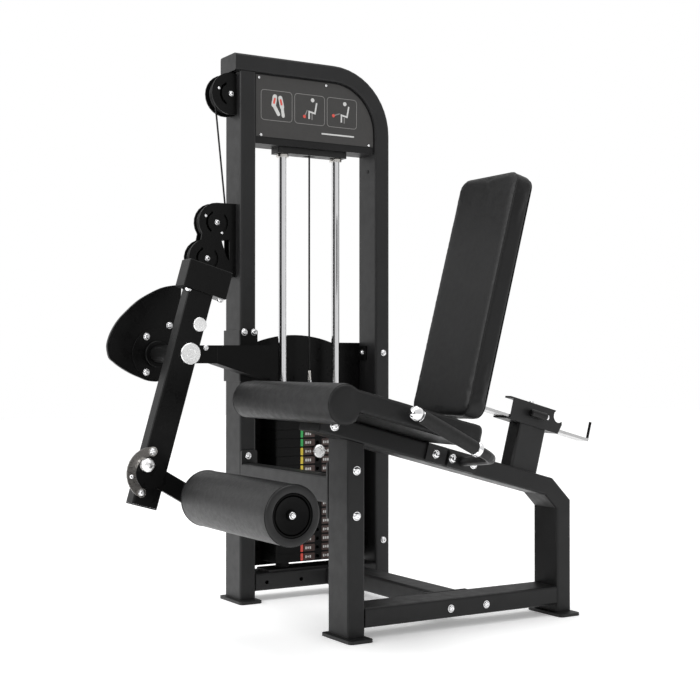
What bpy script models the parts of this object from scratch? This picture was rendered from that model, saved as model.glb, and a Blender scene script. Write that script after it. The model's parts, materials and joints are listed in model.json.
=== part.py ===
"""Selectorised leg extension machine.

Metres, +Z up.  The user faces -Y and the weight tower stands on the user's right, towards -X.
The origin is on the floor, under the centre of the tower's front upright.
"""

from math import atan2, ceil, cos, hypot, pi, radians, sin, sqrt, tan

import bmesh
import bpy
from mathutils import Vector

# ---------------------------------------------------------------- driving dimensions
GAP = 0.0003                      # clearance between neighbouring pieces
WALL = 0.003                      # wall of the steel tubes
TUBE_WIDE = 0.100                 # the frame tubes are 100 x 50
TUBE_DEEP = 0.050
TUBE_CORNER = 0.006
TOWER_HEIGHT = 1.587
TOWER_DEPTH = 0.512               # outer face of the front upright to the outer face of the rear one
TOWER_NOSE = 0.016                # the top tube stands this far proud of the front upright
BEND_RADIUS = 0.196               # outer radius of the tower's top rear bend
BEND_STEPS = 12
BASE_LOW = 0.029                  # underside of the tubes that run along the floor
FOOT_SIZE = (0.145, 0.070, 0.008)
FOOT_SHIFT = (0.012, -0.005)
SEAT_X = 0.614                    # centre plane of the seat, pads and seat frame
SLOPE = radians(15.0)             # the seat beam falls towards the rear
SLOPE_ORIGIN = (0.0, -0.025, 0.5493)   # a point on the beam's top face, from which seat places are measured
BEAM_FRONT = -0.083               # along the slope
LEG_Y = -0.011                    # seat front leg
REAR_LEG_Y = 0.659
CROSS_TOP = 0.402                 # front tube between tower and seat leg
CROSS_TALL = 0.070
REAR_CROSS_Y = 0.334
REAR_CROSS_DEEP = 0.080

PIVOT = (-0.272, 0.716)           # knee axis, in Y and Z
LEVER_TILT = radians(15.96)
LEVER_X = 0.218
LEVER_LOW = -0.418                # lower end, from the knee axis along the lever
LEVER_TOP = 0.1677
LEVER_WIDE = 0.073
LEVER_OFFSET = -0.0125            # the lever's middle lies ahead of the knee axis
SHAFT_RADIUS = 0.015
CAM_EYE = (-0.2295, 0.800)        # where the cable is tied to the cam, in Y and Z
CAM_OUTLINE = (                   # angle and radius about the knee axis
    (72, 0.206), (85, 0.187), (104, 0.163), (116, 0.153), (128, 0.147), (140, 0.1455),
    (152, 0.145), (162, 0.1455), (172, 0.145), (184, 0.138), (190, 0.127), (197, 0.115),
    (208, 0.100), (220, 0.089), (234, 0.081), (254, 0.078), (278, 0.077), (300, 0.070),
    (320, 0.060), (340, 0.052), (0, 0.048), (20, 0.050), (38, 0.064), (50, 0.090),
    (59, 0.130), (66, 0.190), (69, 0.206),
)
ADJUST_AXIS = (-0.391, 0.405)     # roller arm pivot, in Y and Z
ARM_ANGLE = radians(30.5)
ARM_LENGTH = 0.116
ARM_X = (0.2445, 0.2605)
PIN_PLACE = (-0.020, 0.0235)      # the adjuster pin, from the roller arm's pivot
ROLLER_X = (0.384, 0.844)
ROLLER_RADIUS = 0.072

STACK_Y = 0.231
PLATE_LONG = 0.280
PLATE_WIDE = 0.100
PLATE_PITCH = 0.026
PLATE_THICK = PLATE_PITCH - GAP
STACK_LOW = 0.104
RESTING_PLATES = 12
LIFTED_PLATES = 6
ROD_SPACING = 0.184
ROD_RADIUS = 0.0125
STEM_RADIUS = 0.011
STEM_TOP = 0.640
PIN_RADIUS = 0.005
HEAD_LOW = 1.332                  # bottom edge of the head cover

TOP_PULLEY = (-0.043, 1.471, 0.053)        # Y, Z and outer radius
INNER_PULLEY = (STACK_Y - 0.042, 1.471, 0.053)
UPPER_PULLEY = (-0.085, 1.096, 0.051)
LOWER_PULLEY = (-0.116, 0.991, 0.051)
TOP_CHEEK = 0.061                 # radius of the pulley housings
MID_CHEEK = 0.057
GROOVE_DEPTH = 0.011              # from a pulley's rim down to the cable's centre line
CABLE_RADIUS = 0.0028

PAD_X = (0.362, 0.866)
PAD_REAR = 0.258                  # along the slope
PAD_THICK = 0.054
ROLL_CENTRE = (-0.145, 0.011)     # front roll of the seat pad, on the slope
ROLL_RADIUS = 0.0487
BACK_X = (0.484, 0.745)
BACK_FRONT = 0.281
BACK_THICK = 0.059
BACK_SPAN = (0.081, 0.736)        # above the slope
POST_SPAN = (0.538, 0.631)
POST_HEIGHT = 0.1235
BAR_LEVEL = 0.1295                # underside of the backrest's sliding bar, above the slope
BAR_THICK = 0.008
LOCK_PLACE = (0.580, 0.156)       # the backrest's locking pin, on the slope

HANDLE_X = 0.286                  # grip distance from the seat's centre plane
GRIP_FRONT = (0.011, 0.5716)      # Y and Z of the grip's front end
GRIP_REAR = (0.184, 0.4834)
HANDLE_RADIUS = 0.0125
GRIP_RADIUS = 0.017

# ---------------------------------------------------------------- finishes
FINISHES = {
    "powder_black": ((0.022, 0.022, 0.023), 0.42, 0.0),
    "panel_black": ((0.030, 0.030, 0.031), 0.50, 0.0),
    "placard_grey": ((0.075, 0.070, 0.066), 0.45, 0.0),
    "vinyl": ((0.028, 0.028, 0.030), 0.55, 0.0),
    "foam": ((0.030, 0.030, 0.032), 0.60, 0.0),
    "rubber": ((0.018, 0.018, 0.018), 0.75, 0.0),
    "nylon_black": ((0.020, 0.020, 0.020), 0.35, 0.0),
    "plate_black": ((0.030, 0.030, 0.030), 0.50, 0.0),
    "cable_black": ((0.012, 0.012, 0.012), 0.45, 0.0),
    "chrome": ((0.80, 0.80, 0.81), 0.08, 1.0),
    "nickel": ((0.62, 0.61, 0.59), 0.25, 1.0),
}


def finish(name):
    """The Principled material of that name, made once."""
    material = bpy.data.materials.get(name)
    if material is None:
        colour, roughness, metallic = FINISHES[name]
        material = bpy.data.materials.new(name)
        material.use_nodes = True
        shader = material.node_tree.nodes["Principled BSDF"]
        shader.inputs["Base Color"].default_value = (*colour, 1.0)
        shader.inputs["Roughness"].default_value = roughness
        shader.inputs["Metallic"].default_value = metallic
    return material


# ---------------------------------------------------------------- building blocks
def add_object(name, bm, finish_name, parent=None):
    """Turn a bmesh into an object whose faces point out."""
    bmesh.ops.recalc_face_normals(bm, faces=bm.faces)
    mesh = bpy.data.meshes.new(name)
    bm.to_mesh(mesh)
    bm.free()
    mesh.shade_smooth()
    mesh.set_sharp_from_angle(angle=radians(35.0))
    mesh.materials.append(finish(finish_name))
    piece = bpy.data.objects.new(name, mesh)
    bpy.context.scene.collection.objects.link(piece)
    piece.parent = parent
    return piece


def helper(name, bm, parent=None):
    """A hidden solid that a Boolean reads."""
    piece = add_object(name, bm, "powder_black", parent)
    piece.hide_render = True
    piece.display_type = "WIRE"
    return piece


def combine(piece, operation, other):
    """Cut a helper from a piece, or unite the two."""
    modifier = piece.modifiers.new(operation.lower(), "BOOLEAN")
    modifier.operation = operation
    modifier.solver = "EXACT"
    modifier.object = other


def cut(piece, bm, parent=None):
    combine(piece, "DIFFERENCE", helper(piece.name + "_cut_%d" % len(piece.modifiers), bm, parent))


def weld(piece, bm, parent=None):
    combine(piece, "UNION", helper(piece.name + "_weld_%d" % len(piece.modifiers), bm, parent))


def frame_empty(name, place, angle=0.0, parent=None):
    """An empty that holds a sub-assembly's place and its turn about X."""
    empty = bpy.data.objects.new(name, None)
    bpy.context.scene.collection.objects.link(empty)
    empty.location = place
    empty.rotation_euler = (angle, 0.0, 0.0)
    empty.parent = parent
    return empty


def circle(radius, count, centre=(0.0, 0.0)):
    """Points round a circle, counter-clockwise."""
    angles = [2.0 * pi * k / count for k in range(count)]
    return [(centre[0] + radius * cos(a), centre[1] + radius * sin(a)) for a in angles]


def arc(centre, radius, start, end, steps):
    """Points along an arc, both ends included; the angles are in degrees."""
    angles = [radians(start + (end - start) * k / steps) for k in range(steps + 1)]
    return [(centre[0] + radius * cos(a), centre[1] + radius * sin(a)) for a in angles]


def smooth_outline(corners, steps):
    """Closed curve through all corners, with several points from each to the next."""
    count = len(corners)
    points = []
    for k in range(count):
        before, here, after, later = [Vector(corners[(k + i - 1) % count]) for i in range(4)]
        for step in range(steps):
            t = step / steps
            bend = (after - before) + (2 * before - 5 * here + 4 * after - later) * t
            bend += (3 * here - 3 * after + later - before) * t * t
            points.append(tuple(here + bend * t / 2.0))
    return points


def rounded_rectangle(wide, tall, corner, steps=2, centre=(0.0, 0.0)):
    """A rectangle with round corners, counter-clockwise."""
    points = []
    for quadrant, (side_u, side_v) in enumerate(((1, 1), (-1, 1), (-1, -1), (1, -1))):
        middle = (
            centre[0] + side_u * (wide / 2.0 - corner),
            centre[1] + side_v * (tall / 2.0 - corner),
        )
        points += arc(middle, corner, 90.0 * quadrant, 90.0 * quadrant + 90.0, steps)
    return points


def ring(bm, section, station):
    origin, across, up = station
    return [bm.verts.new(origin + across * u + up * v) for u, v in section]


def skin(bm, first, second):
    for k in range(len(first)):
        following = (k + 1) % len(first)
        bm.faces.new((first[k], first[following], second[following], second[k]))


def sweep(bm, stations, outer, inner=None):
    """Carry a section along stations (origin, across, up); an inner section makes it hollow."""
    outer_rings = [ring(bm, outer, station) for station in stations]
    for first, second in zip(outer_rings, outer_rings[1:]):
        skin(bm, first, second)
    if inner is None:
        bm.faces.new(outer_rings[0])
        bm.faces.new(outer_rings[-1])
        return
    inner_rings = [ring(bm, inner, station) for station in stations]
    for first, second in zip(inner_rings, inner_rings[1:]):
        skin(bm, first, second)
    skin(bm, outer_rings[0], inner_rings[0])
    skin(bm, outer_rings[-1], inner_rings[-1])


AXES = {
    "x": (Vector((1, 0, 0)), Vector((0, 1, 0)), Vector((0, 0, 1))),
    "y": (Vector((0, 1, 0)), Vector((1, 0, 0)), Vector((0, 0, 1))),
    "z": (Vector((0, 0, 1)), Vector((1, 0, 0)), Vector((0, 1, 0))),
}


def prism(bm, axis, low, high, outline, inner=None):
    """Extrude an outline along a world axis; its points are the other two coordinates in order."""
    along, across, up = AXES[axis]
    sweep(bm, [(along * low, across, up), (along * high, across, up)], outline, inner)


def prism_mesh(axis, low, high, outline, inner=None):
    bm = bmesh.new()
    prism(bm, axis, low, high, outline, inner)
    return bm


def block_mesh(low, high):
    outline = [(low[1], low[2]), (high[1], low[2]), (high[1], high[2]), (low[1], high[2])]
    return prism_mesh("x", low[0], high[0], outline)


def cylinder_mesh(axis, low, high, radius, centre, count=16):
    return prism_mesh(axis, low, high, circle(radius, count, centre))


def lathe_mesh(axis, centre, profile, count):
    """Turn a closed profile of (along, radius) about an axis; points on the axis are shared."""
    along, across, up = AXES[axis]
    middle = across * centre[0] + up * centre[1]
    bm = bmesh.new()
    rings = []
    for place, radius in profile:
        origin = middle + along * place
        if radius == 0.0:
            rings.append([bm.verts.new(origin)])
        else:
            rings.append(ring(bm, circle(radius, count), (origin, across, up)))
    pairs = list(zip(rings, rings[1:]))
    if len(rings[0]) > 1:
        pairs.append((rings[-1], rings[0]))
    for first, second in pairs:
        if len(first) == 1:
            first, second = second, first
        if len(second) > 1:
            skin(bm, first, second)
            continue
        for k in range(len(first)):
            bm.faces.new((first[k], first[(k + 1) % len(first)], second[0]))
    return bm


def rounded_path(points, radius, steps=6):
    """A polyline whose inner corners are turned into arcs of a given radius."""
    points = [Vector(point) for point in points]
    path = [points[0]]
    for before, corner, after in zip(points, points[1:], points[2:]):
        into = (corner - before).normalized()
        out = (after - corner).normalized()
        turn = into.angle(out)
        reach = radius * tan(turn / 2.0)
        start = corner - into * reach
        side = (out - into * out.dot(into)).normalized()
        for k in range(steps + 1):
            angle = turn * k / steps
            path.append(start + into * (radius * sin(angle)) + side * (radius * (1.0 - cos(angle))))
    path.append(points[-1])
    return path


def path_stations(path, across):
    """Stations for a round section along a path, with as little twist as can be."""
    stations = []
    across = Vector(across)
    for k, point in enumerate(path):
        ahead = path[min(k + 1, len(path) - 1)]
        behind = path[max(k - 1, 0)]
        along = (ahead - behind).normalized()
        across = (across - along * across.dot(along)).normalized()
        stations.append((point, across, along.cross(across)))
    return stations


def round_bar_mesh(path, radius, count, across, inner_radius=None):
    bm = bmesh.new()
    inner = circle(inner_radius, count) if inner_radius else None
    sweep(bm, path_stations(path, across), circle(radius, count), inner)
    return bm


def bent_stations(outline, inset, x):
    """Stations of a tube whose outer face follows an outline in the YZ plane, mitred at its corners."""
    points = [Vector((x, y, z)) for y, z in outline]
    stations = []
    for k, point in enumerate(points):
        ways = []
        if k > 0:
            ways.append((point - points[k - 1]).normalized())
        if k < len(points) - 1:
            ways.append((points[k + 1] - point).normalized())
        normals = [Vector((0.0, -way.z, way.y)) for way in ways]
        mean = sum(normals, Vector()).normalized()
        mitre = mean / mean.dot(normals[0])
        stations.append((point - mitre * inset, Vector((1, 0, 0)), mitre))
    return stations


def frame_section(wide=TUBE_WIDE, deep=TUBE_DEEP):
    """Outer and inner outlines of a frame tube."""
    outer = rounded_rectangle(wide, deep, TUBE_CORNER)
    inner = rounded_rectangle(wide - 2 * WALL, deep - 2 * WALL, TUBE_CORNER - WALL)
    return outer, inner


def add_straight_tube(name, axis, low, high, wide, deep, centre):
    """A hollow tube along a world axis; wide and deep follow the other two axes in order."""
    outer, inner = frame_section(wide, deep)
    outer = [(u + centre[0], v + centre[1]) for u, v in outer]
    inner = [(u + centre[0], v + centre[1]) for u, v in inner]
    return add_object(name, prism_mesh(axis, low, high, outer, inner), "powder_black")


def slope_point(along, above):
    """World Y and Z of a place on the sloping seat beam."""
    return (
        SLOPE_ORIGIN[1] + along * cos(SLOPE) + above * sin(SLOPE),
        SLOPE_ORIGIN[2] - along * sin(SLOPE) + above * cos(SLOPE),
    )


# ---------------------------------------------------------------- tower
FRONT_FACE = -TUBE_DEEP / 2.0
REAR_INNER = FRONT_FACE + TOWER_DEPTH - TUBE_DEEP
TOP_UNDERSIDE = TOWER_HEIGHT - TUBE_DEEP


def build_front_upright():
    low = FOOT_SIZE[2] + GAP
    high = TOP_UNDERSIDE - GAP
    upright = add_straight_tube("front_upright", "z", low, high, TUBE_WIDE, TUBE_DEEP, (0.0, 0.0))
    half = 0.018
    slot_low = TOP_PULLEY[1] - TOP_PULLEY[2] - 0.006
    cut(upright, block_mesh((-half, -0.030, slot_low), (half, -0.018, high + 0.010)))
    cut(upright, block_mesh((-0.010, 0.018, TOP_PULLEY[1] + 0.035), (0.010, 0.030, high + 0.010)))


def build_tower_arch():
    """Top tube and rear upright, one bent tube."""
    rear_outer = FRONT_FACE + TOWER_DEPTH
    bend = (rear_outer - BEND_RADIUS, TOWER_HEIGHT - BEND_RADIUS)
    outline = [(FRONT_FACE - TOWER_NOSE, TOWER_HEIGHT)]
    outline += arc(bend, BEND_RADIUS, 90.0, 0.0, BEND_STEPS)
    outline.append((rear_outer, FOOT_SIZE[2] + GAP))
    bm = bmesh.new()
    sweep(bm, bent_stations(outline, TUBE_DEEP / 2.0, 0.0), *frame_section())
    arch = add_object("tower_arch", bm, "powder_black")
    middle = (0.0, TOWER_HEIGHT - TUBE_DEEP / 2.0)
    plug = rounded_rectangle(TUBE_WIDE - WALL, TUBE_DEEP - WALL, 0.004, 2, middle)
    nose = FRONT_FACE - TOWER_NOSE
    weld(arch, prism_mesh("y", nose, nose + WALL, plug))


def build_tower_base():
    """Floor tube of the tower with the plate that carries the rods and bumpers."""
    base = add_straight_tube(
        "tower_base_tube", "y", TUBE_DEEP / 2.0 + GAP, REAR_INNER - GAP, TUBE_WIDE, TUBE_DEEP,
        (0.0, BASE_LOW + TUBE_DEEP / 2.0),
    )
    half_long = PLATE_LONG / 2.0 + 0.019
    plate = rounded_rectangle(0.080, 2.0 * half_long, 0.006, 2, (0.0, STACK_Y))
    weld(base, prism_mesh("z", BASE_LOW + TUBE_DEEP - 0.001, BASE_LOW + TUBE_DEEP + 0.006, plate))
    for place in (0.0615, 0.176):
        cut(base, cylinder_mesh("x", 0.040, 0.060, 0.006, (place, 0.0525), 12))


def build_feet():
    places = {
        "tower_front_foot": (0.0, 0.0),
        "tower_rear_foot": (0.0, REAR_INNER + TUBE_DEEP / 2.0),
        "seat_front_foot": (SEAT_X, LEG_Y),
        "seat_rear_foot": (SEAT_X, REAR_LEG_Y),
    }
    wide, deep, thick = FOOT_SIZE
    for name, (x, y) in places.items():
        outline = rounded_rectangle(wide, deep, 0.010, 2, (x + FOOT_SHIFT[0], y + FOOT_SHIFT[1]))
        add_object(name, prism_mesh("z", 0.0, thick, outline), "powder_black")


def head_outline(inset, low):
    """The space between the uprights under the top tube, as far in as inset."""
    radius = BEND_RADIUS - TUBE_DEEP
    bend = (REAR_INNER - radius, TOP_UNDERSIDE - radius)
    front = TUBE_DEEP / 2.0 + inset
    points = [(front, low), (REAR_INNER - inset, low)]
    points += arc(bend, radius - inset, 0.0, 90.0, BEND_STEPS)
    points.append((front, TOP_UNDERSIDE - inset))
    return points


def build_head_cover():
    """Two black side sheets joined by a bottom web with a slot for the cable."""
    side_x = 0.040
    sheet = 0.002
    outline = head_outline(2.0 * GAP, HEAD_LOW)
    cover = add_object("head_cover", prism_mesh("x", side_x - sheet, side_x, outline), "panel_black")
    weld(cover, prism_mesh("x", -side_x, -side_x + sheet, outline))
    web_front = TUBE_DEEP / 2.0 + 2.0 * GAP
    web_rear = REAR_INNER - 2.0 * GAP
    web = block_mesh((-side_x + 0.001, web_front, HEAD_LOW), (side_x - 0.001, web_rear, HEAD_LOW + sheet))
    weld(cover, web)
    slot = rounded_rectangle(0.020, 0.060, 0.008, 3, (0.0, STACK_Y))
    cut(cover, prism_mesh("z", HEAD_LOW - 0.010, HEAD_LOW + 0.010, slot))

    placard_low = 1.353
    face = side_x + GAP
    add_object(
        "instruction_placard",
        prism_mesh("x", face, face + 0.001, head_outline(0.004, placard_low)),
        "placard_grey",
    )


def build_rod_head_block():
    half = 0.118
    high = HEAD_LOW - GAP
    outline = rounded_rectangle(0.050, 2.0 * half, 0.004, 2, (0.0, STACK_Y))
    block = add_object("rod_head_block", prism_mesh("z", high - 0.018, high, outline), "powder_black")
    slot = rounded_rectangle(0.016, 0.040, 0.006, 2, (0.0, STACK_Y))
    cut(block, prism_mesh("z", high - 0.030, high + 0.010, slot))


def build_guide_rods():
    low = BASE_LOW + TUBE_DEEP + 0.006 + GAP
    high = HEAD_LOW - 0.018 - 2.0 * GAP
    bore = ROD_RADIUS + 0.0006
    for name, side in (("guide_rod_front", -1), ("guide_rod_rear", 1)):
        centre = (0.0, STACK_Y + side * ROD_SPACING / 2.0)
        add_object(name, cylinder_mesh("z", low, high, ROD_RADIUS, centre, 20), "chrome")
        bumper = lathe_mesh(
            "z", centre,
            [(low, bore), (low, 0.021), (STACK_LOW - GAP, 0.019), (STACK_LOW - GAP, bore)],
            20,
        )
        add_object(name.replace("guide_rod", "bumper"), bumper, "rubber")


def build_stack_guard():
    """Flat sheet on the tower's far side with an arched top, and two tabs on the rear upright."""
    far = -TUBE_WIDE / 2.0 - GAP
    sheet = 0.0022
    shoulder, rise, half = 0.754, 0.022, 0.130
    radius = (half * half + rise * rise) / (2.0 * rise)
    sweep_angle = 180.0 / pi * atan2(half, radius - rise)
    crown_y = 0.209
    outline = [(-0.020, 0.087), (REAR_INNER + 0.045, 0.087), (REAR_INNER + 0.045, shoulder)]
    outline += arc((crown_y, shoulder + rise - radius), radius, 90.0 - sweep_angle, 90.0 + sweep_angle, 12)
    outline.append((-0.020, shoulder))
    guard = add_object("stack_guard", prism_mesh("x", far - sheet, far, outline), "panel_black")
    tab_rear = REAR_INNER - GAP
    for middle in (0.7225, 0.148):
        tab = block_mesh((far - sheet, tab_rear - 0.003, middle - 0.022), (0.0, tab_rear, middle + 0.022))
        weld(guard, tab)


# ---------------------------------------------------------------- pulleys and cable
def pulley_profile(radius):
    """Half section of a grooved pulley with a thinner web."""
    half = 0.012
    bore = 0.0065
    groove = radius - GROOVE_DEPTH - CABLE_RADIUS - 0.0008
    hub = 0.015
    rim = groove - 0.006
    web = 0.005
    return [
        (-half, bore), (-half, hub), (-web, hub + 0.002), (-web, rim), (-half, rim + 0.002), (-half, radius),
        (-half + 0.003, radius), (-0.003, groove), (0.003, groove), (half - 0.003, radius), (half, radius),
        (half, rim + 0.002), (web, rim), (web, hub + 0.002), (half, hub), (half, bore),
    ]


def build_pulleys():
    pulleys = {
        "top_pulley": TOP_PULLEY, "inner_pulley": INNER_PULLEY,
        "mid_pulley_upper": UPPER_PULLEY, "mid_pulley_lower": LOWER_PULLEY,
    }
    for name, (y, z, radius) in pulleys.items():
        empty = frame_empty(name + "_axis", (0.0, y, z))
        add_object(name, lathe_mesh("x", (0.0, 0.0), pulley_profile(radius), 20), "nylon_black", empty)


def arc_slot(centre, radius, start, end, half_width):
    outer = arc(centre, radius + half_width, start, end, 5)
    inner = arc(centre, radius - half_width, end, start, 5)
    return outer + inner


def weld_pair(piece, inner_x, thick, outline):
    """The same plate on both sides of the cable's plane."""
    weld(piece, prism_mesh("x", inner_x, inner_x + thick, outline))
    weld(piece, prism_mesh("x", -inner_x - thick, -inner_x, outline))


def build_top_bracket():
    """Round housing plates bolted on the front of the upright."""
    face = FRONT_FACE - GAP
    y, z, _ = TOP_PULLEY
    inner_x, thick = 0.0195, 0.004
    rise = sqrt(TOP_CHEEK ** 2 - (face - y) ** 2)
    start = 180.0 / pi * atan2(rise, face - y)
    cheek = arc((y, z), TOP_CHEEK, start, 360.0 - start, 16)
    bracket = add_object(
        "top_pulley_bracket",
        cylinder_mesh("x", -inner_x - 0.010, inner_x + 0.010, 0.006, (y, z), 12),
        "powder_black",
    )
    weld_pair(bracket, inner_x, thick, cheek)
    cut(bracket, prism_mesh("x", -0.030, 0.030, arc_slot((y, z), 0.033, 115.0, 245.0, 0.0035)))


def build_inner_bracket():
    """Hanger under the top tube for the pulley above the stack."""
    y, z, _ = INNER_PULLEY
    high = TOP_UNDERSIDE - GAP
    cheek = [(y - 0.020, high), (y - 0.020, z - 0.015), (y + 0.020, z - 0.015), (y + 0.020, high)]
    axle = cylinder_mesh("x", -0.021, 0.021, 0.006, (y, z), 12)
    hanger = add_object("inner_pulley_bracket", axle, "powder_black")
    weld_pair(hanger, 0.0135, 0.004, cheek)


def build_mid_bracket():
    """Back plate with two cheeks that follow both pulleys and leave a window between."""
    face = FRONT_FACE - GAP
    back = 0.006
    inner_x, thick = 0.0145, 0.004
    low, high = 0.940, UPPER_PULLEY[1] + MID_CHEEK
    plate = block_mesh((-inner_x - thick, face - back, low), (inner_x + thick, face, high))
    bracket = add_object("mid_pulley_bracket", plate, "powder_black")
    upper = (UPPER_PULLEY[0], UPPER_PULLEY[1], MID_CHEEK)
    lower = (LOWER_PULLEY[0], LOWER_PULLEY[1], MID_CHEEK)
    cheek = [(face - 0.001, high)] + arc(upper[:2], MID_CHEEK, 90.0, 215.0, 8)
    cheek += arc(lower[:2], MID_CHEEK, 110.0, 300.0, 12)
    cheek.append((face - 0.001, low + 0.002))
    weld_pair(bracket, inner_x, thick, cheek)
    window = [(-0.070, 1.044), (-0.045, 1.048), (-0.045, 0.985), (-0.056, 1.000)]
    holes = bmesh.new()
    prism(holes, "x", -0.030, 0.030, window)
    for centre in (upper, lower):
        prism(holes, "x", -0.030, 0.030, arc_slot(centre, 0.032, 115.0, 235.0, 0.0035))
        prism(holes, "x", -0.030, 0.030, arc_slot(centre, 0.032, -45.0, 45.0, 0.0035))
    cut(bracket, holes)
    for y, z, _ in (upper, lower):
        weld(bracket, cylinder_mesh("x", -inner_x - 0.010, inner_x + 0.010, 0.006, (y, z), 12))


def tangent_points(first, second, first_side, second_side):
    """Ends of a straight cable run between two circles; side is +1 where it keeps to a circle's left."""
    (y1, z1, r1), (y2, z2, r2) = first, second
    span = hypot(y2 - y1, z2 - z1)
    bearing = atan2(z2 - z1, y2 - y1)
    offset = first_side * r1 - second_side * r2
    lean = atan2(offset, sqrt(span ** 2 - offset ** 2))
    way = bearing - lean
    normal = (-sin(way), cos(way))
    return (
        (y1 + normal[0] * first_side * r1, z1 + normal[1] * first_side * r1),
        (y2 + normal[0] * second_side * r2, z2 + normal[1] * second_side * r2),
    )


def wrap(centre, arrive, leave, turn):
    """Cable points round a pulley from one touching point to the next; turn is +1 counter-clockwise."""
    start = 180.0 / pi * atan2(arrive[1] - centre[1], arrive[0] - centre[0])
    end = 180.0 / pi * atan2(leave[1] - centre[1], leave[0] - centre[0])
    span = (turn * (end - start)) % 360.0
    return arc(centre[:2], centre[2], start, start + turn * span, max(2, ceil(span / 15.0)))


def cable_circle(pulley):
    return (pulley[0], pulley[1], pulley[2] - GROOVE_DEPTH)


def add_cable(name, points):
    path = [Vector((0.0, y, z)) for y, z in points]
    add_object(name, round_bar_mesh(path, CABLE_RADIUS, 8, (1, 0, 0)), "cable_black")


def build_cables():
    """The cable from the cam to the stack: a run over the pulleys and the drop that the stack shortens."""
    lower, upper = cable_circle(LOWER_PULLEY), cable_circle(UPPER_PULLEY)
    top, inner = cable_circle(TOP_PULLEY), cable_circle(INNER_PULLEY)
    eye = (CAM_EYE[0], CAM_EYE[1], 0.0)
    tail_start, lower_in = tangent_points(eye, lower, 1, 1)
    lower_out, upper_in = tangent_points(lower, upper, 1, -1)
    upper_out, top_in = tangent_points(upper, top, -1, 1)
    top_out, inner_in = tangent_points(top, inner, 1, 1)
    drop_top = (inner[0] + inner[2], inner[1])
    way = Vector((lower_in[0] - tail_start[0], lower_in[1] - tail_start[1])).normalized()
    run = [(tail_start[0] + way.x * 0.012, tail_start[1] + way.y * 0.012)]
    run += wrap(lower, lower_in, lower_out, -1) + wrap(upper, upper_in, upper_out, 1)
    run += wrap(top, top_in, top_out, -1) + wrap(inner, inner_in, drop_top, -1)
    add_cable("cable_run", run)
    add_cable("cable_drop", [(drop_top[0], drop_top[1] - GAP * 2), (drop_top[0], STEM_TOP + GAP)])


# ---------------------------------------------------------------- seat frame
def beam_outline():
    """Outer faces of the bent tube: slope, chamfer and rear leg."""
    rear = REAR_LEG_Y + TUBE_DEEP / 2.0
    knee = 0.0622
    front = slope_point(BEAM_FRONT, 0.0)
    drop = tan(SLOPE)
    high = SLOPE_ORIGIN[2] - (rear - knee - SLOPE_ORIGIN[1]) * drop
    return [front, (rear - knee, high), (rear, high - knee), (rear, FOOT_SIZE[2] + GAP)]


def build_seat_beam():
    bm = bmesh.new()
    sweep(bm, bent_stations(beam_outline(), TUBE_DEEP / 2.0, SEAT_X), *frame_section())
    add_object("seat_beam", bm, "powder_black")


def build_seat_front_leg():
    """Upright whose top is cut to the slope of the beam."""
    drop = tan(SLOPE)
    under = SLOPE_ORIGIN[2] - (LEG_Y - SLOPE_ORIGIN[1]) * drop - (TUBE_DEEP + GAP) / cos(SLOPE)
    across = Vector((1, 0, 0))
    low = (Vector((SEAT_X, LEG_Y, FOOT_SIZE[2] + GAP)), across, Vector((0, 1, 0)))
    high = (Vector((SEAT_X, LEG_Y, under)), across, Vector((0, 1, -drop)))
    bm = bmesh.new()
    sweep(bm, [low, high], *frame_section())
    add_object("seat_front_leg", bm, "powder_black")


def build_seat_rail():
    low = LEG_Y + TUBE_DEEP / 2.0 + GAP
    high = REAR_LEG_Y - TUBE_DEEP / 2.0 - GAP
    centre = (SEAT_X, BASE_LOW + TUBE_DEEP / 2.0)
    add_straight_tube("seat_bottom_rail", "y", low, high, TUBE_WIDE, TUBE_DEEP, centre)


def build_cross_tube(name, size, centre, flange_low, flange_high):
    """Tube between tower and seat frame with a bolting flange at both ends and a drain hole."""
    low = TUBE_WIDE / 2.0 + GAP
    high = SEAT_X - TUBE_WIDE / 2.0 - GAP
    thick = 0.008
    tube = add_straight_tube(name, "x", low + 0.004, high - 0.004, size[0], size[1], centre)
    for start, middle in ((low, flange_low), (high - thick, flange_high)):
        outline = rounded_rectangle(middle[2], middle[3], 0.006, 2, middle[:2])
        weld(tube, prism_mesh("x", start, start + thick, outline))
    bottom = centre[1] - size[1] / 2.0
    middle_x = (low + high) / 2.0
    cut(tube, cylinder_mesh("z", bottom - 0.010, bottom + 0.010, 0.004, (middle_x, centre[0]), 10))


def build_cross_tubes():
    flange_z = CROSS_TOP - CROSS_TALL / 2.0
    build_cross_tube(
        "front_cross_tube", (TUBE_DEEP, CROSS_TALL), (0.0, flange_z),
        (0.0, flange_z, TUBE_DEEP, 0.146), (LEG_Y, flange_z, TUBE_DEEP, 0.146),
    )
    rail_z = BASE_LOW + TUBE_DEEP / 2.0
    flange = (REAR_CROSS_Y, rail_z, 0.146, TUBE_DEEP)
    build_cross_tube("rear_cross_tube", (REAR_CROSS_DEEP, TUBE_DEEP), (REAR_CROSS_Y, rail_z), flange, flange)


# ---------------------------------------------------------------- seat and backrest
def slope_frame(name):
    """Empty whose Y runs down the beam to the rear and whose Z stands on it."""
    return frame_empty(name, (SEAT_X, SLOPE_ORIGIN[1], SLOPE_ORIGIN[2]), -SLOPE)


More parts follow.
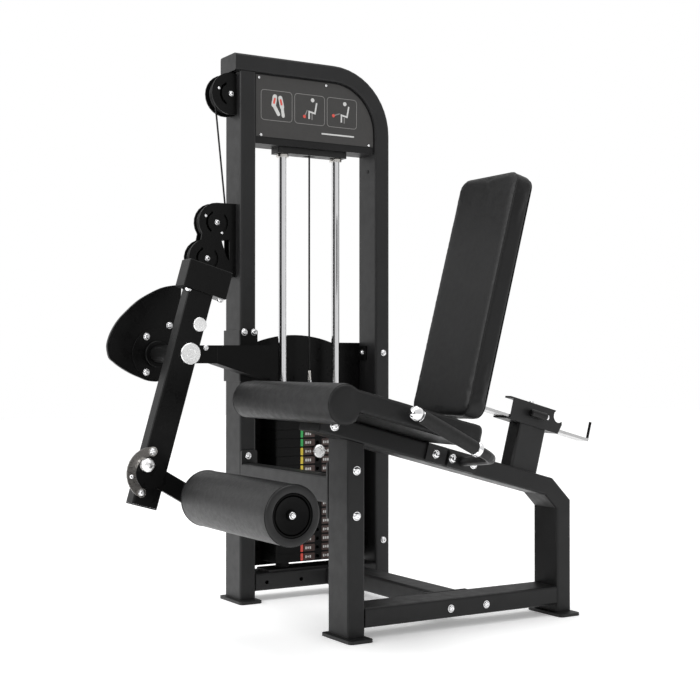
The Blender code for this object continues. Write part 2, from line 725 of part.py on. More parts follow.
def pillow(axis, levels, outline):
    """A cushion: the outline shrinks by an inset on all sides at each level (place, inset)."""
    along, across, up = AXES[axis]
    us = [u for u, _ in outline]
    vs = [v for _, v in outline]
    middle_u, middle_v = (min(us) + max(us)) / 2.0, (min(vs) + max(vs)) / 2.0
    wide, tall = max(us) - min(us), max(vs) - min(vs)
    bm = bmesh.new()
    stations = []
    for place, inset in levels:
        scale_u, scale_v = 1.0 - 2.0 * inset / wide, 1.0 - 2.0 * inset / tall
        origin = along * place + across * (middle_u * (1.0 - scale_u)) + up * (middle_v * (1.0 - scale_v))
        stations.append((origin, across * scale_u, up * scale_v))
    sweep(bm, stations, outline)
    return bm


def build_seat_pad():
    frame = slope_frame("seat_pad_frame")
    half = (PAD_X[1] - PAD_X[0]) / 2.0
    corner = 0.014
    bottom = GAP
    outline = arc((PAD_REAR - 0.006, bottom + 0.006), 0.006, -90.0, 0.0, 2)
    outline += arc((PAD_REAR - corner, PAD_THICK - corner), corner, 0.0, 90.0, 4)
    above, below = PAD_THICK - ROLL_CENTRE[1], ROLL_CENTRE[1] - bottom
    over = 180.0 / pi * atan2(above, sqrt(ROLL_RADIUS ** 2 - above ** 2))
    under = -180.0 / pi * atan2(below, sqrt(ROLL_RADIUS ** 2 - below ** 2))
    outline += arc(ROLL_CENTRE, ROLL_RADIUS, over, 360.0 + under, 20)
    levels = [(-half, 0.006), (-half + 0.006, 0.0), (half - 0.006, 0.0), (half, 0.006)]
    add_object("seat_pad", pillow("x", levels, outline), "vinyl", frame)


def backrest_frame():
    frame = bpy.data.objects.get("backrest_frame")
    return frame or slope_frame("backrest_frame")


def build_backrest_pad():
    middle_x = (BACK_X[0] + BACK_X[1]) / 2.0 - SEAT_X
    middle_n = (BACK_SPAN[0] + BACK_SPAN[1]) / 2.0
    outline = rounded_rectangle(
        BACK_X[1] - BACK_X[0], BACK_SPAN[1] - BACK_SPAN[0], 0.038, 5, (middle_x, middle_n)
    )
    rear = BACK_FRONT + BACK_THICK
    levels = [(BACK_FRONT, 0.008), (BACK_FRONT + 0.007, 0.0), (rear - 0.010, 0.0), (rear, 0.008)]
    add_object("backrest_pad", pillow("y", levels, outline), "vinyl", backrest_frame())


def build_backrest_bar():
    """Flat bar with a thin upturned stop on its near corner, and the spine that carries the pad."""
    frame = backrest_frame()
    rear = 0.788
    front = BACK_FRONT + BACK_THICK + GAP
    low = BAR_LEVEL
    side = [(front, low), (rear, low), (rear, low + BAR_THICK), (front + BAR_THICK, low + BAR_THICK)]
    side += [(front + BAR_THICK, 0.520), (front, 0.520)]
    bar = add_object("backrest_bar", prism_mesh("x", -0.025, 0.025, side), "chrome", frame)
    weld(bar, block_mesh((0.0190, rear - 0.0055, low + 0.001), (0.0245, rear - 0.0005, 0.184)), frame)
    holes = bmesh.new()
    for k in range(7):
        prism(holes, "z", low - 0.010, low + 0.020, circle(0.0055, 10, (0.0, 0.480 + 0.030 * k)))
    cut(bar, holes, frame)


def build_backrest_post():
    frame = slope_frame("post_frame")
    middle = (POST_SPAN[0] + POST_SPAN[1]) / 2.0
    section = frame_section(TUBE_DEEP, POST_SPAN[1] - POST_SPAN[0])
    outer, inner = [[(u, v + middle) for u, v in part] for part in section]
    add_object("backrest_post", prism_mesh("z", GAP, POST_HEIGHT, outer, inner), "powder_black", frame)


def build_slide_bracket():
    """Open sleeve on the post through which the bar slides; its rear edge has a round notch."""
    frame = slope_frame("bracket_frame")
    low, high = POST_HEIGHT + GAP, 0.185
    half, wall = 0.0295, 0.0035
    side = [(0.498, low), (0.671, low), (0.679, 0.1505), (0.677, 0.159), (0.6725, 0.1555)]
    side += arc((0.6635, 0.1725), 0.0190, 285.0, 145.0, 9) + [(0.650, high), (0.498, high)]
    bracket = add_object("slide_bracket", prism_mesh("x", half - wall, half, side), "powder_black", frame)
    weld(bracket, block_mesh((half - 0.025, 0.486, high - 0.005), (half, 0.648, high)), frame)
    weld(bracket, block_mesh((-half, 0.486, low), (half, 0.671, low + 0.005)), frame)
    weld(bracket, block_mesh((-half, 0.556, low), (-half + wall, 0.671, 0.152)), frame)
    cut(bracket, cylinder_mesh("x", 0.020, 0.040, 0.0066, LOCK_PLACE, 12), frame)


def build_backrest_pin():
    """Spring pin on the near side of the sleeve, with a cross grip that lies along the slope."""
    along, above = LOCK_PLACE
    axis = frame_empty("backrest_pin_axis", (0.0295, along, above), 0.0, slope_frame("pin_frame"))
    half, radius = 0.0285, 0.0105
    grip = [
        (-half, 0.0), (-half, radius - 0.003), (-half + 0.003, radius), (half - 0.003, radius),
        (half, radius - 0.003), (half, 0.0),
    ]
    pin = add_object("backrest_pin", lathe_mesh("y", (0.0145, 0.0), grip, 14), "nylon_black", axis)
    weld(pin, cylinder_mesh("x", -0.010, 0.012, 0.006, (0.0, 0.0), 12), axis)


def build_handle(side_name, side):
    """Bent tube with a flat end plate on the beam, and the rubber grip at its free end."""
    x = SEAT_X + side * HANDLE_X
    along = Vector((0.0, GRIP_REAR[0] - GRIP_FRONT[0], GRIP_REAR[1] - GRIP_FRONT[1])).normalized()
    front = Vector((x, *GRIP_FRONT))
    elbow = front + along * 0.252
    plate_x = SEAT_X + side * (TUBE_WIDE / 2.0 + GAP)
    end = Vector((plate_x + side * 0.0045, 0.310, 0.4335))
    path = rounded_path([front, elbow, end], 0.045, 5)
    tube = round_bar_mesh(path, HANDLE_RADIUS, 14, (1, 0, 0))
    handle = add_object("handle_" + side_name, tube, "powder_black")
    frame = slope_frame("handle_frame_" + side_name)
    ends = sorted((side * (TUBE_WIDE / 2.0 + GAP), side * (TUBE_WIDE / 2.0 + 0.009)))
    outline = rounded_rectangle(0.094, 0.046, 0.006, 2, (0.3535, -0.025))
    weld(handle, prism_mesh("x", ends[0], ends[1], outline), frame)

    grip_end = Vector((x, *GRIP_REAR))
    start = front + along * 0.0135
    grip = round_bar_mesh([start, grip_end], GRIP_RADIUS, 16, (1, 0, 0), HANDLE_RADIUS + 0.0003)
    add_object("grip_" + side_name, grip, "rubber")
    ball = bmesh.new()
    bmesh.ops.create_uvsphere(ball, u_segments=16, v_segments=8, radius=GRIP_RADIUS)
    bmesh.ops.translate(ball, verts=ball.verts, vec=front - along * 0.004)
    weld(handle, ball)


# ---------------------------------------------------------------- knee lever
def lever_frame():
    frame = bpy.data.objects.get("lever_frame")
    return frame or frame_empty("lever_frame", (LEVER_X, *PIVOT), -LEVER_TILT)


def build_lever():
    outer, inner = frame_section(TUBE_DEEP, LEVER_WIDE)
    outer = [(u, v + LEVER_OFFSET) for u, v in outer]
    inner = [(u, v + LEVER_OFFSET) for u, v in inner]
    frame = lever_frame()
    add_object("lever_tube", prism_mesh("z", LEVER_LOW, LEVER_TOP, outer, inner), "powder_black", frame)

    half_x = 0.030
    low = LEVER_TOP + GAP
    outline = rounded_rectangle(2.0 * half_x, 0.130, 0.004, 2, (0.002, -0.005))
    levels = [(low, 0.002), (low + 0.002, 0.0), (0.242, 0.0), (0.244, 0.002)]
    add_object("counterweight", pillow("z", levels, outline), "powder_black", frame)


def build_cam():
    """Cable cam with the eye stud on its far side, and the shaft that joins it to the lever."""
    axis = frame_empty("cam_frame", (0.0, *PIVOT))
    near = 0.014
    corners = [(radius * cos(radians(angle)), radius * sin(radians(angle))) for angle, radius in CAM_OUTLINE]
    outline = smooth_outline(corners, 3)
    cam = add_object("cam_plate", prism_mesh("x", 0.004, near, outline), "powder_black", axis)
    eye = (CAM_EYE[0] - PIVOT[0], CAM_EYE[1] - PIVOT[1])
    weld(cam, cylinder_mesh("x", -0.006, 0.008, 0.0085, eye, 12), axis)

    reach = LEVER_X - TUBE_DEEP / 2.0 - GAP
    shaft = cylinder_mesh("x", near + GAP, reach, SHAFT_RADIUS, (0.0, 0.0), 20)
    add_object("pivot_shaft", shaft, "chrome", axis)


def build_pivot_bracket():
    """Bearing housing on an arm that is clamped to the tower's near face."""
    y, z = PIVOT
    low = TUBE_WIDE / 2.0 + GAP
    bore = circle(SHAFT_RADIUS + 0.0005, 20, PIVOT)
    housing = prism_mesh("x", 0.0225, 0.186, circle(0.024, 20, PIVOT), bore)
    bracket = add_object("pivot_bracket", housing, "powder_black")
    front = y + 0.018
    arm = [(front, z - 0.026), (-0.129, z - 0.026), (0.008, 0.648), (0.060, 0.648)]
    arm += [(0.060, 0.742), (front, z + 0.024)]
    weld(bracket, prism_mesh("x", low, low + 0.058, arm))
    clamp = rounded_rectangle(0.056, 0.150, 0.004, 2, (-0.002, 0.712))
    weld(bracket, prism_mesh("x", low, low + 0.008, clamp))


def build_adjuster_plate():
    """Open ring on two standoffs that guards the roller arm's index."""
    axis = frame_empty("adjuster_plate_axis", (0.0, *ADJUST_AXIS))
    outline = arc((0.0, 0.0), 0.069, 82.0, 244.0, 14) + arc((0.0, 0.0), 0.045, 244.0, 82.0, 12)
    low = ARM_X[1] + 0.0045
    plate = add_object("adjuster_plate", prism_mesh("x", low, low + 0.005, outline), "nickel", axis)
    near = LEVER_X + TUBE_DEEP / 2.0 + GAP
    for angle, radius in ((85.0, 0.056), (241.0, 0.057)):
        centre = (radius * cos(radians(angle)), radius * sin(radians(angle)))
        weld(plate, cylinder_mesh("x", near, low + 0.002, 0.0075, centre, 12), axis)


def build_roller_arm():
    """Index disc on the lever, the arm below it and the axle that carries the roller."""
    axis = frame_empty("roller_arm_axis", (0.0, *ADJUST_AXIS))
    far, near = ARM_X
    disc = cylinder_mesh("x", far, near + 0.003, 0.042, (0.0, 0.0), 24)
    arm = add_object("roller_arm", disc, "powder_black", axis)
    way = (cos(-ARM_ANGLE), sin(-ARM_ANGLE))
    side = (-way[1], way[0])
    half = 0.025
    reach = ARM_LENGTH + 0.012
    corners = [(0.0, -half), (reach, -half), (reach + 0.013, -half + 0.013)]
    corners += [(reach + 0.013, half - 0.013), (reach, half), (0.0, half)]
    outline = [(way[0] * a + side[0] * b, way[1] * a + side[1] * b) for a, b in corners]
    weld(arm, prism_mesh("x", far, near, outline), axis)
    roller = (way[0] * ARM_LENGTH, way[1] * ARM_LENGTH)
    weld(arm, cylinder_mesh("x", near - 0.010, ROLLER_X[1] - 0.010, 0.0125, roller, 16), axis)
    cut(arm, cylinder_mesh("x", far - 0.010, near + 0.020, 0.0056, PIN_PLACE, 12), axis)


def build_adjuster_pin():
    """Ball knob on a plunger through the index disc."""
    place = (ADJUST_AXIS[0] + PIN_PLACE[0], ADJUST_AXIS[1] + PIN_PLACE[1])
    axis = frame_empty("adjuster_pin_axis", (0.0, *place))
    face = ARM_X[1] + 0.003
    ball, radius = face + 0.023, 0.0190
    profile = [(ARM_X[0] + 0.001, 0.0), (ARM_X[0] + 0.001, PIN_RADIUS), (face + 0.0008, PIN_RADIUS)]
    profile += [(ball + radius * cos(radians(a)), radius * sin(radians(a))) for a in range(154, 0, -22)]
    profile.append((ball + radius, 0.0))
    add_object("adjuster_pin", lathe_mesh("x", (0.0, 0.0), profile, 16), "chrome", axis)


def build_roller():
    place = (
        ADJUST_AXIS[0] + ARM_LENGTH * cos(ARM_ANGLE),
        ADJUST_AXIS[1] - ARM_LENGTH * sin(ARM_ANGLE),
    )
    axis = frame_empty("roller_axis", (0.0, *place))
    low, high = ROLLER_X
    depth = 0.014
    mouth = 0.0525
    bore = 0.0132
    edge = 0.005
    profile = [
        (low, bore), (low, ROLLER_RADIUS - edge),
        (low + 0.0015, ROLLER_RADIUS - 0.0015), (low + edge, ROLLER_RADIUS),
        (high - edge, ROLLER_RADIUS), (high - 0.0015, ROLLER_RADIUS - 0.0015), (high, ROLLER_RADIUS - edge),
        (high, mouth), (high - depth, mouth), (high - depth, bore),
    ]
    add_object("foot_roller", lathe_mesh("x", (0.0, 0.0), profile, 28), "foam", axis)
    start = high - depth + GAP
    rim = mouth - 0.0005
    profile = [
        (start, bore), (start, rim), (high - 0.001, rim), (high - 0.001, rim - 0.004),
        (high - 0.006, rim - 0.006), (high - 0.011, 0.017), (high - 0.003, 0.017), (high - 0.003, bore),
    ]
    add_object("roller_end_cap", lathe_mesh("x", (0.0, 0.0), profile, 28), "nylon_black", axis)


# ---------------------------------------------------------------- weight stack
def plate_levels(low):
    """Chamfered edges at the top and bottom of one weight plate."""
    edge = 0.0008
    high = low + PLATE_THICK
    return [(low, edge), (low + edge, 0.0), (high - edge, 0.0), (high, edge)]


def add_plates(name, levels, stem_hole):
    outline = rounded_rectangle(PLATE_WIDE, PLATE_LONG, 0.005, 2, (0.0, STACK_Y))
    plates = add_object(name, pillow("z", levels, outline), "plate_black")
    low, high = levels[0][0] - 0.010, levels[-1][0] + 0.010
    holes = bmesh.new()
    for side in (-1, 1):
        rod = (0.0, STACK_Y + side * ROD_SPACING / 2.0)
        prism(holes, "z", low, high, circle(ROD_RADIUS + 0.0008, 16, rod))
    prism(holes, "z", low, high, circle(stem_hole, 14, (0.0, STACK_Y)))
    cut(plates, holes)
    return plates


def build_stack():
    levels = []
    for k in range(RESTING_PLATES):
        levels += plate_levels(STACK_LOW + k * PLATE_PITCH)
    rest = add_plates("rest_plates", levels, STEM_RADIUS + 0.001)
    holes = bmesh.new()
    for k in range(RESTING_PLATES):
        height = STACK_LOW + k * PLATE_PITCH + PLATE_THICK / 2.0
        prism(holes, "x", 0.005, 0.060, circle(0.0058, 8, (STACK_Y, height)))
    cut(rest, holes)
    for k in range(LIFTED_PLATES):
        low = STACK_LOW + (RESTING_PLATES + k) * PLATE_PITCH
        plate = add_plates("stack_plate_%d" % (k + 1), plate_levels(low), STEM_RADIUS + GAP)
        cut(plate, cylinder_mesh("x", 0.005, 0.060, 0.0058, (STACK_Y, low + PLATE_THICK / 2.0), 8))
    low = STACK_LOW + (RESTING_PLATES + LIFTED_PLATES) * PLATE_PITCH
    add_plates("head_plate", plate_levels(low), STEM_RADIUS + GAP)


def pin_height():
    return STACK_LOW + RESTING_PLATES * PLATE_PITCH + PLATE_THICK / 2.0


def build_stem():
    profile = [
        (STACK_LOW + 0.004, 0.0), (STACK_LOW + 0.004, STEM_RADIUS), (STEM_TOP - 0.036, STEM_RADIUS),
        (STEM_TOP - 0.034, 0.016), (STEM_TOP - 0.012, 0.016), (STEM_TOP - 0.010, 0.008),
        (STEM_TOP, 0.008), (STEM_TOP, 0.0),
    ]
    stem = add_object("selector_stem", lathe_mesh("z", (0.0, STACK_Y), profile, 16), "chrome")
    cut(stem, cylinder_mesh("x", -0.020, 0.020, 0.0056, (STACK_Y, pin_height()), 10))


def build_selector_pin():
    axis = frame_empty("selector_pin_axis", (0.0, STACK_Y, pin_height()))
    face = PLATE_WIDE / 2.0
    profile = [
        (-0.008, 0.0), (-0.010, 0.003), (-0.006, PIN_RADIUS), (face + 0.0005, PIN_RADIUS),
        (face + 0.0005, 0.012), (face + 0.006, 0.0195), (face + 0.013, 0.0195),
        (face + 0.016, 0.016), (face + 0.016, 0.0),
    ]
    add_object("selector_pin", lathe_mesh("x", (0.0, 0.0), profile, 20), "chrome", axis)


# ---------------------------------------------------------------- assembly
def clear_scene():
    for piece in list(bpy.data.objects):
        bpy.data.objects.remove(piece, do_unlink=True)


def main():
    clear_scene()
    build_front_upright()
    build_tower_arch()
    build_tower_base()
    build_feet()
    build_head_cover()
    build_rod_head_block()
    build_guide_rods()
    build_stack_guard()
    build_pulleys()
    build_top_bracket()
    build_inner_bracket()
    build_mid_bracket()
    build_cables()
    build_seat_beam()
    build_seat_front_leg()
    build_seat_rail()
    build_cross_tubes()
    build_seat_pad()
    build_backrest_pad()
    build_backrest_bar()
    build_backrest_post()
    build_slide_bracket()
    build_backrest_pin()
    for name, side in (("left", 1), ("right", -1)):
        build_handle(name, side)
    build_lever()
    build_cam()
    build_pivot_bracket()
    build_adjuster_plate()
    build_roller_arm()
    build_adjuster_pin()
    build_roller()
    build_stack()
    build_stem()
    build_selector_pin()


main()
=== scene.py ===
"""Looks of the leg extension machine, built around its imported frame."""
import json
from collections import defaultdict
from functools import lru_cache
from math import atan2, cos, degrees, pi, radians, sin, sqrt

import bmesh
import bpy
from mathutils import Matrix, Vector
from mathutils.bvhtree import BVHTree


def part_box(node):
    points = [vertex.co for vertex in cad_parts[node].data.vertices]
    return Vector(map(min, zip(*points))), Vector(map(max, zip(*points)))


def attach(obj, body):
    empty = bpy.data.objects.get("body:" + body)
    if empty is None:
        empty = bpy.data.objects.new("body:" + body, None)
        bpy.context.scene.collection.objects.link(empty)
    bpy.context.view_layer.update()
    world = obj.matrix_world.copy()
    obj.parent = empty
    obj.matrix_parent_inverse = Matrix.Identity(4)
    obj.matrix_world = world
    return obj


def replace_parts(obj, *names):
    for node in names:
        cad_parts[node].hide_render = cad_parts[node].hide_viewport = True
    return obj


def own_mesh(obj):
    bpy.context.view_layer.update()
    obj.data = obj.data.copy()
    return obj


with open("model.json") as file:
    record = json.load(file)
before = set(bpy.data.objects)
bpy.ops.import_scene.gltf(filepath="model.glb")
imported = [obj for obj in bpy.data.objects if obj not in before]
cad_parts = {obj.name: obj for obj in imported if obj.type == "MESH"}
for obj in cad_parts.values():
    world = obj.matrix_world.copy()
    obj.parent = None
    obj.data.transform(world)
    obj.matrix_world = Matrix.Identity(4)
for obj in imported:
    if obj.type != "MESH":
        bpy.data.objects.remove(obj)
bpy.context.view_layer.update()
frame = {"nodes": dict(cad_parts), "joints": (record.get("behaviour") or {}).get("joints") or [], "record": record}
NODES = frame["nodes"]
JOINTS = {joint["name"]: joint for joint in frame["joints"]}

# ---- places, from the frame
def box_middle(name):
    low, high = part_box(name)
    return (low + high) / 2.0


KNEE = Vector(JOINTS["lever_swing"]["pos_m"])
INDEX = Vector(JOINTS["roller_adjust"]["pos_m"])
ROLLER = Vector(JOINTS["roller_spin"]["pos_m"])
UPRIGHT_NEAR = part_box("front_upright")[1].x
BEAM_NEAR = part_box("seat_beam")[1].x
LEVER_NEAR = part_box("lever_tube")[1].x
CLAMP_NEAR = UPRIGHT_NEAR + 0.0083      # near face of the 8 mm plates bolted to the upright
ARM_NEAR = UPRIGHT_NEAR + 0.0583
DOWN_SLOPE = Vector(JOINTS["backrest_slide"]["axis"])
UP_SLOPE = Vector((1, 0, 0)).cross(DOWN_SLOPE)
SLOPE_ORIGIN = Vector((box_middle("seat_beam").x, -0.025, 0.5493))
LEVER_UP = Vector((0.0, sin(radians(15.96)), cos(radians(15.96))))
LEVER_REAR = Vector((0.0, LEVER_UP.z, -LEVER_UP.y))
NEAR = Vector((1, 0, 0))
FRONTWARD = Vector((0, -1, 0))
UPWARD = Vector((0, 0, 1))


def on_slope(x, along, above):
    """World place from the seat's centre plane, down the beam and above it."""
    return SLOPE_ORIGIN + NEAR * x + DOWN_SLOPE * along + UP_SLOPE * above


def on_lever(x, up, rear):
    """World place on the lever, measured from the knee axis."""
    return Vector((x, KNEE.y, KNEE.z)) + LEVER_UP * up + LEVER_REAR * rear


# ---- mesh helpers
def circle(radius, count, centre=(0.0, 0.0)):
    angles = [2.0 * pi * k / count for k in range(count)]
    return [(centre[0] + radius * cos(a), centre[1] + radius * sin(a)) for a in angles]


def arc(centre, radius, start, end, steps):
    """Points along an arc; angles in degrees, both ends included."""
    angles = [radians(start + (end - start) * k / steps) for k in range(steps + 1)]
    return [(centre[0] + radius * cos(a), centre[1] + radius * sin(a)) for a in angles]


def rounded_rectangle(wide, tall, corner, steps=6, centre=(0.0, 0.0)):
    points = []
    for quadrant, (side_u, side_v) in enumerate(((1, 1), (-1, 1), (-1, -1), (1, -1))):
        middle = (centre[0] + side_u * (wide / 2.0 - corner), centre[1] + side_v * (tall / 2.0 - corner))
        points += arc(middle, corner, 90.0 * quadrant, 90.0 * quadrant + 90.0, steps)
    return points


def facing(origin, normal, hint=UPWARD):
    """Local +Z along a normal, local +Y as near to the hint as can be."""
    z_axis = Vector(normal).normalized()
    x_axis = Vector(hint).cross(z_axis)
    if x_axis.length < 1e-6:
        x_axis = NEAR.copy()
    x_axis.normalize()
    rotation = Matrix((x_axis, z_axis.cross(x_axis), z_axis)).transposed().to_4x4()
    return Matrix.Translation(origin) @ rotation


def lathe(bm, profile, count, matrix=Matrix()):
    """Turn (height, radius) points about local Z; a closed profile unless it starts on the axis."""
    rings = []
    for height, radius in profile:
        if radius == 0.0:
            rings.append([bm.verts.new(matrix @ Vector((0, 0, height)))])
        else:
            rings.append([bm.verts.new(matrix @ Vector((u, v, height))) for u, v in circle(radius, count)])
    pairs = list(zip(rings, rings[1:]))
    if len(rings[0]) > 1:
        pairs.append((rings[-1], rings[0]))
    for first, second in pairs:
        if len(first) == 1:
            first, second = second, first
        for k in range(len(first)):
            following = (k + 1) % len(first)
            if len(second) == 1:
                bm.faces.new((first[k], first[following], second[0]))
            else:
                bm.faces.new((first[k], first[following], second[following], second[k]))


def bridge(bm, pairs):
    """Faces between pairs of equal rings."""
    for first, second in pairs:
        for k in range(len(first)):
            following = (k + 1) % len(first)
            bm.faces.new((first[k], first[following], second[following], second[k]))


def plate(bm, outline, low, high, matrix=Matrix(), holes=()):
    """A flat plate from an outline in local XY."""
    levels = []
    for height in (low, high):
        edges = []
        rings = []
        for loop in [outline] + list(holes):
            verts = [bm.verts.new(matrix @ Vector((u, v, height))) for u, v in loop]
            edges += [bm.edges.new((verts[k], verts[(k + 1) % len(verts)])) for k in range(len(verts))]
            rings.append(verts)
        bmesh.ops.triangle_fill(bm, use_beauty=True, use_dissolve=True, edges=edges)
        levels.append(rings)
    bridge(bm, zip(*levels))


def tube_along(bm, points, radius, count, closed=False):
    """A round tube along points."""
    total = len(points)
    across = None
    rings = []
    for k, point in enumerate(points):
        ahead = points[(k + 1) % total] if closed else points[min(k + 1, total - 1)]
        behind = points[k - 1] if closed else points[max(k - 1, 0)]
        along = (ahead - behind).normalized()
        if across is None:
            across = along.orthogonal()
        across = (across - along * across.dot(along)).normalized()
        up = along.cross(across)
        rings.append([bm.verts.new(point + across * u + up * v) for u, v in circle(radius, count)])
    pairs = list(zip(rings, rings[1:]))
    if closed:
        seam = rings[-1][0].co
        shift = min(range(count), key=lambda s: (seam - rings[0][s].co).length)
        pairs.append((rings[-1], rings[0][shift:] + rings[0][:shift]))
    else:
        bm.faces.new(rings[0])
        bm.faces.new(rings[-1])
    bridge(bm, pairs)


def linked(name, data):
    """An object for a mesh, a lamp or a lens, in the scene."""
    made = bpy.data.objects.new(name, data)
    bpy.context.scene.collection.objects.link(made)
    return made


def outward_mesh(name, bm):
    bmesh.ops.recalc_face_normals(bm, faces=bm.faces)
    mesh = bpy.data.meshes.new(name)
    bm.to_mesh(mesh)
    bm.free()
    return mesh


def finished_mesh(name, bm, finish, angle):
    """A mesh with smooth shading up to an angle, and a material."""
    mesh = outward_mesh(name, bm)
    mesh.shade_smooth()
    mesh.set_sharp_from_angle(angle=radians(angle))
    mesh.materials.append(MATERIALS[finish])
    return mesh


def piece(name, bm, finish, body, slot=None, angle=35.0, bevel=0.0):
    """Make a mesh object that rides on a body; its slot is not used."""
    made = linked(name, finished_mesh(name, bm, finish, angle))
    if bevel:
        modifier = made.modifiers.new("bevel", "BEVEL")
        modifier.width = bevel
        modifier.segments = 2
        modifier.limit_method = "ANGLE"
        modifier.angle_limit = radians(40.0)
        modifier.harden_normals = True
    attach(made, body)
    slot = slot or finish
    return made


def turned(name, profile, count, matrix, finish, body, slot=None, angle=35.0):
    """A piece turned about the matrix's Z."""
    bm = bmesh.new()
    lathe(bm, profile, count, matrix)
    return piece(name, bm, finish, body, slot, angle)


def slab(name, outline, thick, matrix, finish, body, slot=None, bevel=0.0, holes=()):
    """A flat piece that stands on the matrix's XY plane."""
    bm = bmesh.new()
    plate(bm, outline, 0.0, thick, matrix, holes)
    return piece(name, bm, finish, body, slot, bevel=bevel)


def bead(name, points, radius, count, finish, body, slot):
    """A closed round cord along points."""
    bm = bmesh.new()
    tube_along(bm, points, radius, count, True)
    piece(name, bm, finish, body, slot, 60.0)


# ---- materials
def preset(node, **values):
    """Set a node's own inputs; an underscore stands for a space."""
    for key, value in values.items():
        node.inputs[key.replace("_", " ")].default_value = value


def map_range(tree, value, source, target):
    """A node's value carried from one range to another."""
    node = tree.nodes.new("ShaderNodeMapRange")
    preset(node, From_Min=source[0], From_Max=source[1], To_Min=target[0], To_Max=target[1])
    tree.links.new(value, node.inputs["Value"])
    return node.outputs["Result"]


class Shader:
    """Small helper round a Principled material."""

    def __init__(self, name, colour, roughness, metallic=0.0, coat=0.0, specular=0.5):
        self.material = bpy.data.materials.new(name)
        self.material.use_nodes = True
        self.tree = self.material.node_tree
        self.bsdf = self.tree.nodes["Principled BSDF"]
        self.colour = colour
        preset(self.bsdf, Base_Color=(*colour, 1.0), Roughness=roughness, Metallic=metallic)
        preset(self.bsdf, Specular_IOR_Level=specular)
        if coat:
            preset(self.bsdf, Coat_Weight=coat, Coat_Roughness=0.25)
        self.place = self.tree.nodes.new("ShaderNodeTexCoord").outputs["Object"]
        self.normal = None

    def add(self, kind, **settings):
        node = self.tree.nodes.new(kind)
        for key, value in settings.items():
            setattr(node, key, value)
        return node

    def link(self, source, target):
        self.tree.links.new(source, target)

    def stretched(self, scale):
        mapping = self.add("ShaderNodeMapping")
        preset(mapping, Scale=scale)
        self.link(self.place, mapping.inputs["Vector"])
        return mapping.outputs["Vector"]

    def noise(self, scale, detail=2.0, vector=None):
        node = self.add("ShaderNodeTexNoise")
        preset(node, Scale=scale, Detail=detail)
        self.link(vector or self.place, node.inputs["Vector"])
        return node.outputs["Fac"]

    def cells(self, scale):
        node = self.add("ShaderNodeTexVoronoi")
        preset(node, Scale=scale)
        self.link(self.place, node.inputs["Vector"])
        return node.outputs["Distance"]

    def spread(self, value, low, high):
        """Carry a texture's middle values to low..high."""
        return map_range(self.tree, value, (0.3, 0.7), (low, high))

    def vary_colour(self, value, dark, light):
        """Mottle the base colour between a darker and a lighter share of it."""
        node = self.add("ShaderNodeMix", data_type="RGBA")
        self.link(self.spread(value, 0.0, 1.0), node.inputs[0])
        for socket, factor in ((6, dark), (7, light)):
            node.inputs[socket].default_value = (*[channel * factor for channel in self.colour], 1.0)
        self.link(node.outputs[2], self.bsdf.inputs["Base Color"])

    def vary_roughness(self, value, low, high):
        self.link(self.spread(value, low, high), self.bsdf.inputs["Roughness"])

    def bump(self, height, strength, distance):
        node = self.add("ShaderNodeBump")
        preset(node, Strength=strength, Distance=distance)
        self.link(height, node.inputs["Height"])
        if self.normal is not None:
            self.link(self.normal, node.inputs["Normal"])
        self.normal = node.outputs["Normal"]
        self.link(self.normal, self.bsdf.inputs["Normal"])


def make_powder(name, colour, roughness=0.42, specular=0.30):
    """Satin powder coat: fine orange peel with a faint mottling."""
    shader = Shader(name, colour, roughness, specular=specular)
    shader.vary_colour(shader.noise(9.0, 3.0), 0.88, 1.14)
    shader.vary_roughness(shader.noise(35.0), roughness - 0.05, roughness + 0.06)
    shader.bump(shader.noise(620.0), 0.16, 0.0004)
    return shader.material


def make_vinyl(name, colour, roughness=0.5):
    """Upholstery vinyl: pebbled grain, soft sheen and slow tonal drift."""
    shader = Shader(name, colour, roughness, specular=0.25)
    shader.vary_colour(shader.noise(14.0, 4.0), 0.85, 1.18)
    shader.vary_roughness(shader.noise(60.0, 3.0), roughness - 0.06, roughness + 0.07)
    shader.bump(shader.noise(24.0, 3.0), 0.10, 0.0020)
    shader.bump(shader.cells(620.0), 0.28, 0.0004)
    return shader.material


def make_foam(name, colour):
    """Skinned foam with a fine closed-cell texture."""
    shader = Shader(name, colour, 0.42, specular=0.34)
    shader.vary_colour(shader.noise(30.0, 3.0), 0.88, 1.15)
    shader.vary_roughness(shader.noise(90.0), 0.37, 0.47)
    shader.bump(shader.cells(900.0), 0.22, 0.0003)
    return shader.material


def make_rubber(name, colour, roughness=0.6, specular=0.25):
    shader = Shader(name, colour, roughness, specular=specular)
    shader.vary_colour(shader.noise(45.0, 3.0), 0.85, 1.2)
    shader.vary_roughness(shader.noise(120.0), roughness - 0.06, roughness + 0.08)
    shader.bump(shader.noise(800.0), 0.25, 0.0004)
    return shader.material


def make_metal(name, colour, roughness, stretch=(1.0, 1.0, 1.0), grain=260.0, strength=0.04):
    """Bright metal with a directional grain."""
    shader = Shader(name, colour, roughness, metallic=1.0)
    vector = shader.stretched(stretch)
    shader.vary_roughness(shader.noise(grain, 3.0, vector), roughness * 0.75, roughness * 1.35)
    shader.vary_colour(shader.noise(30.0), 0.95, 1.0)
    shader.bump(shader.noise(grain, 2.0, vector), strength, 0.0003)
    return shader.material


def make_print(name, colour, roughness=0.35):
    shader = Shader(name, colour, roughness, coat=0.25)
    shader.vary_colour(shader.noise(25.0), 0.94, 1.05)
    shader.vary_roughness(shader.noise(140.0), roughness - 0.05, roughness + 0.06)
    shader.bump(shader.noise(900.0, 1.0), 0.05, 0.0002)
    return shader.material


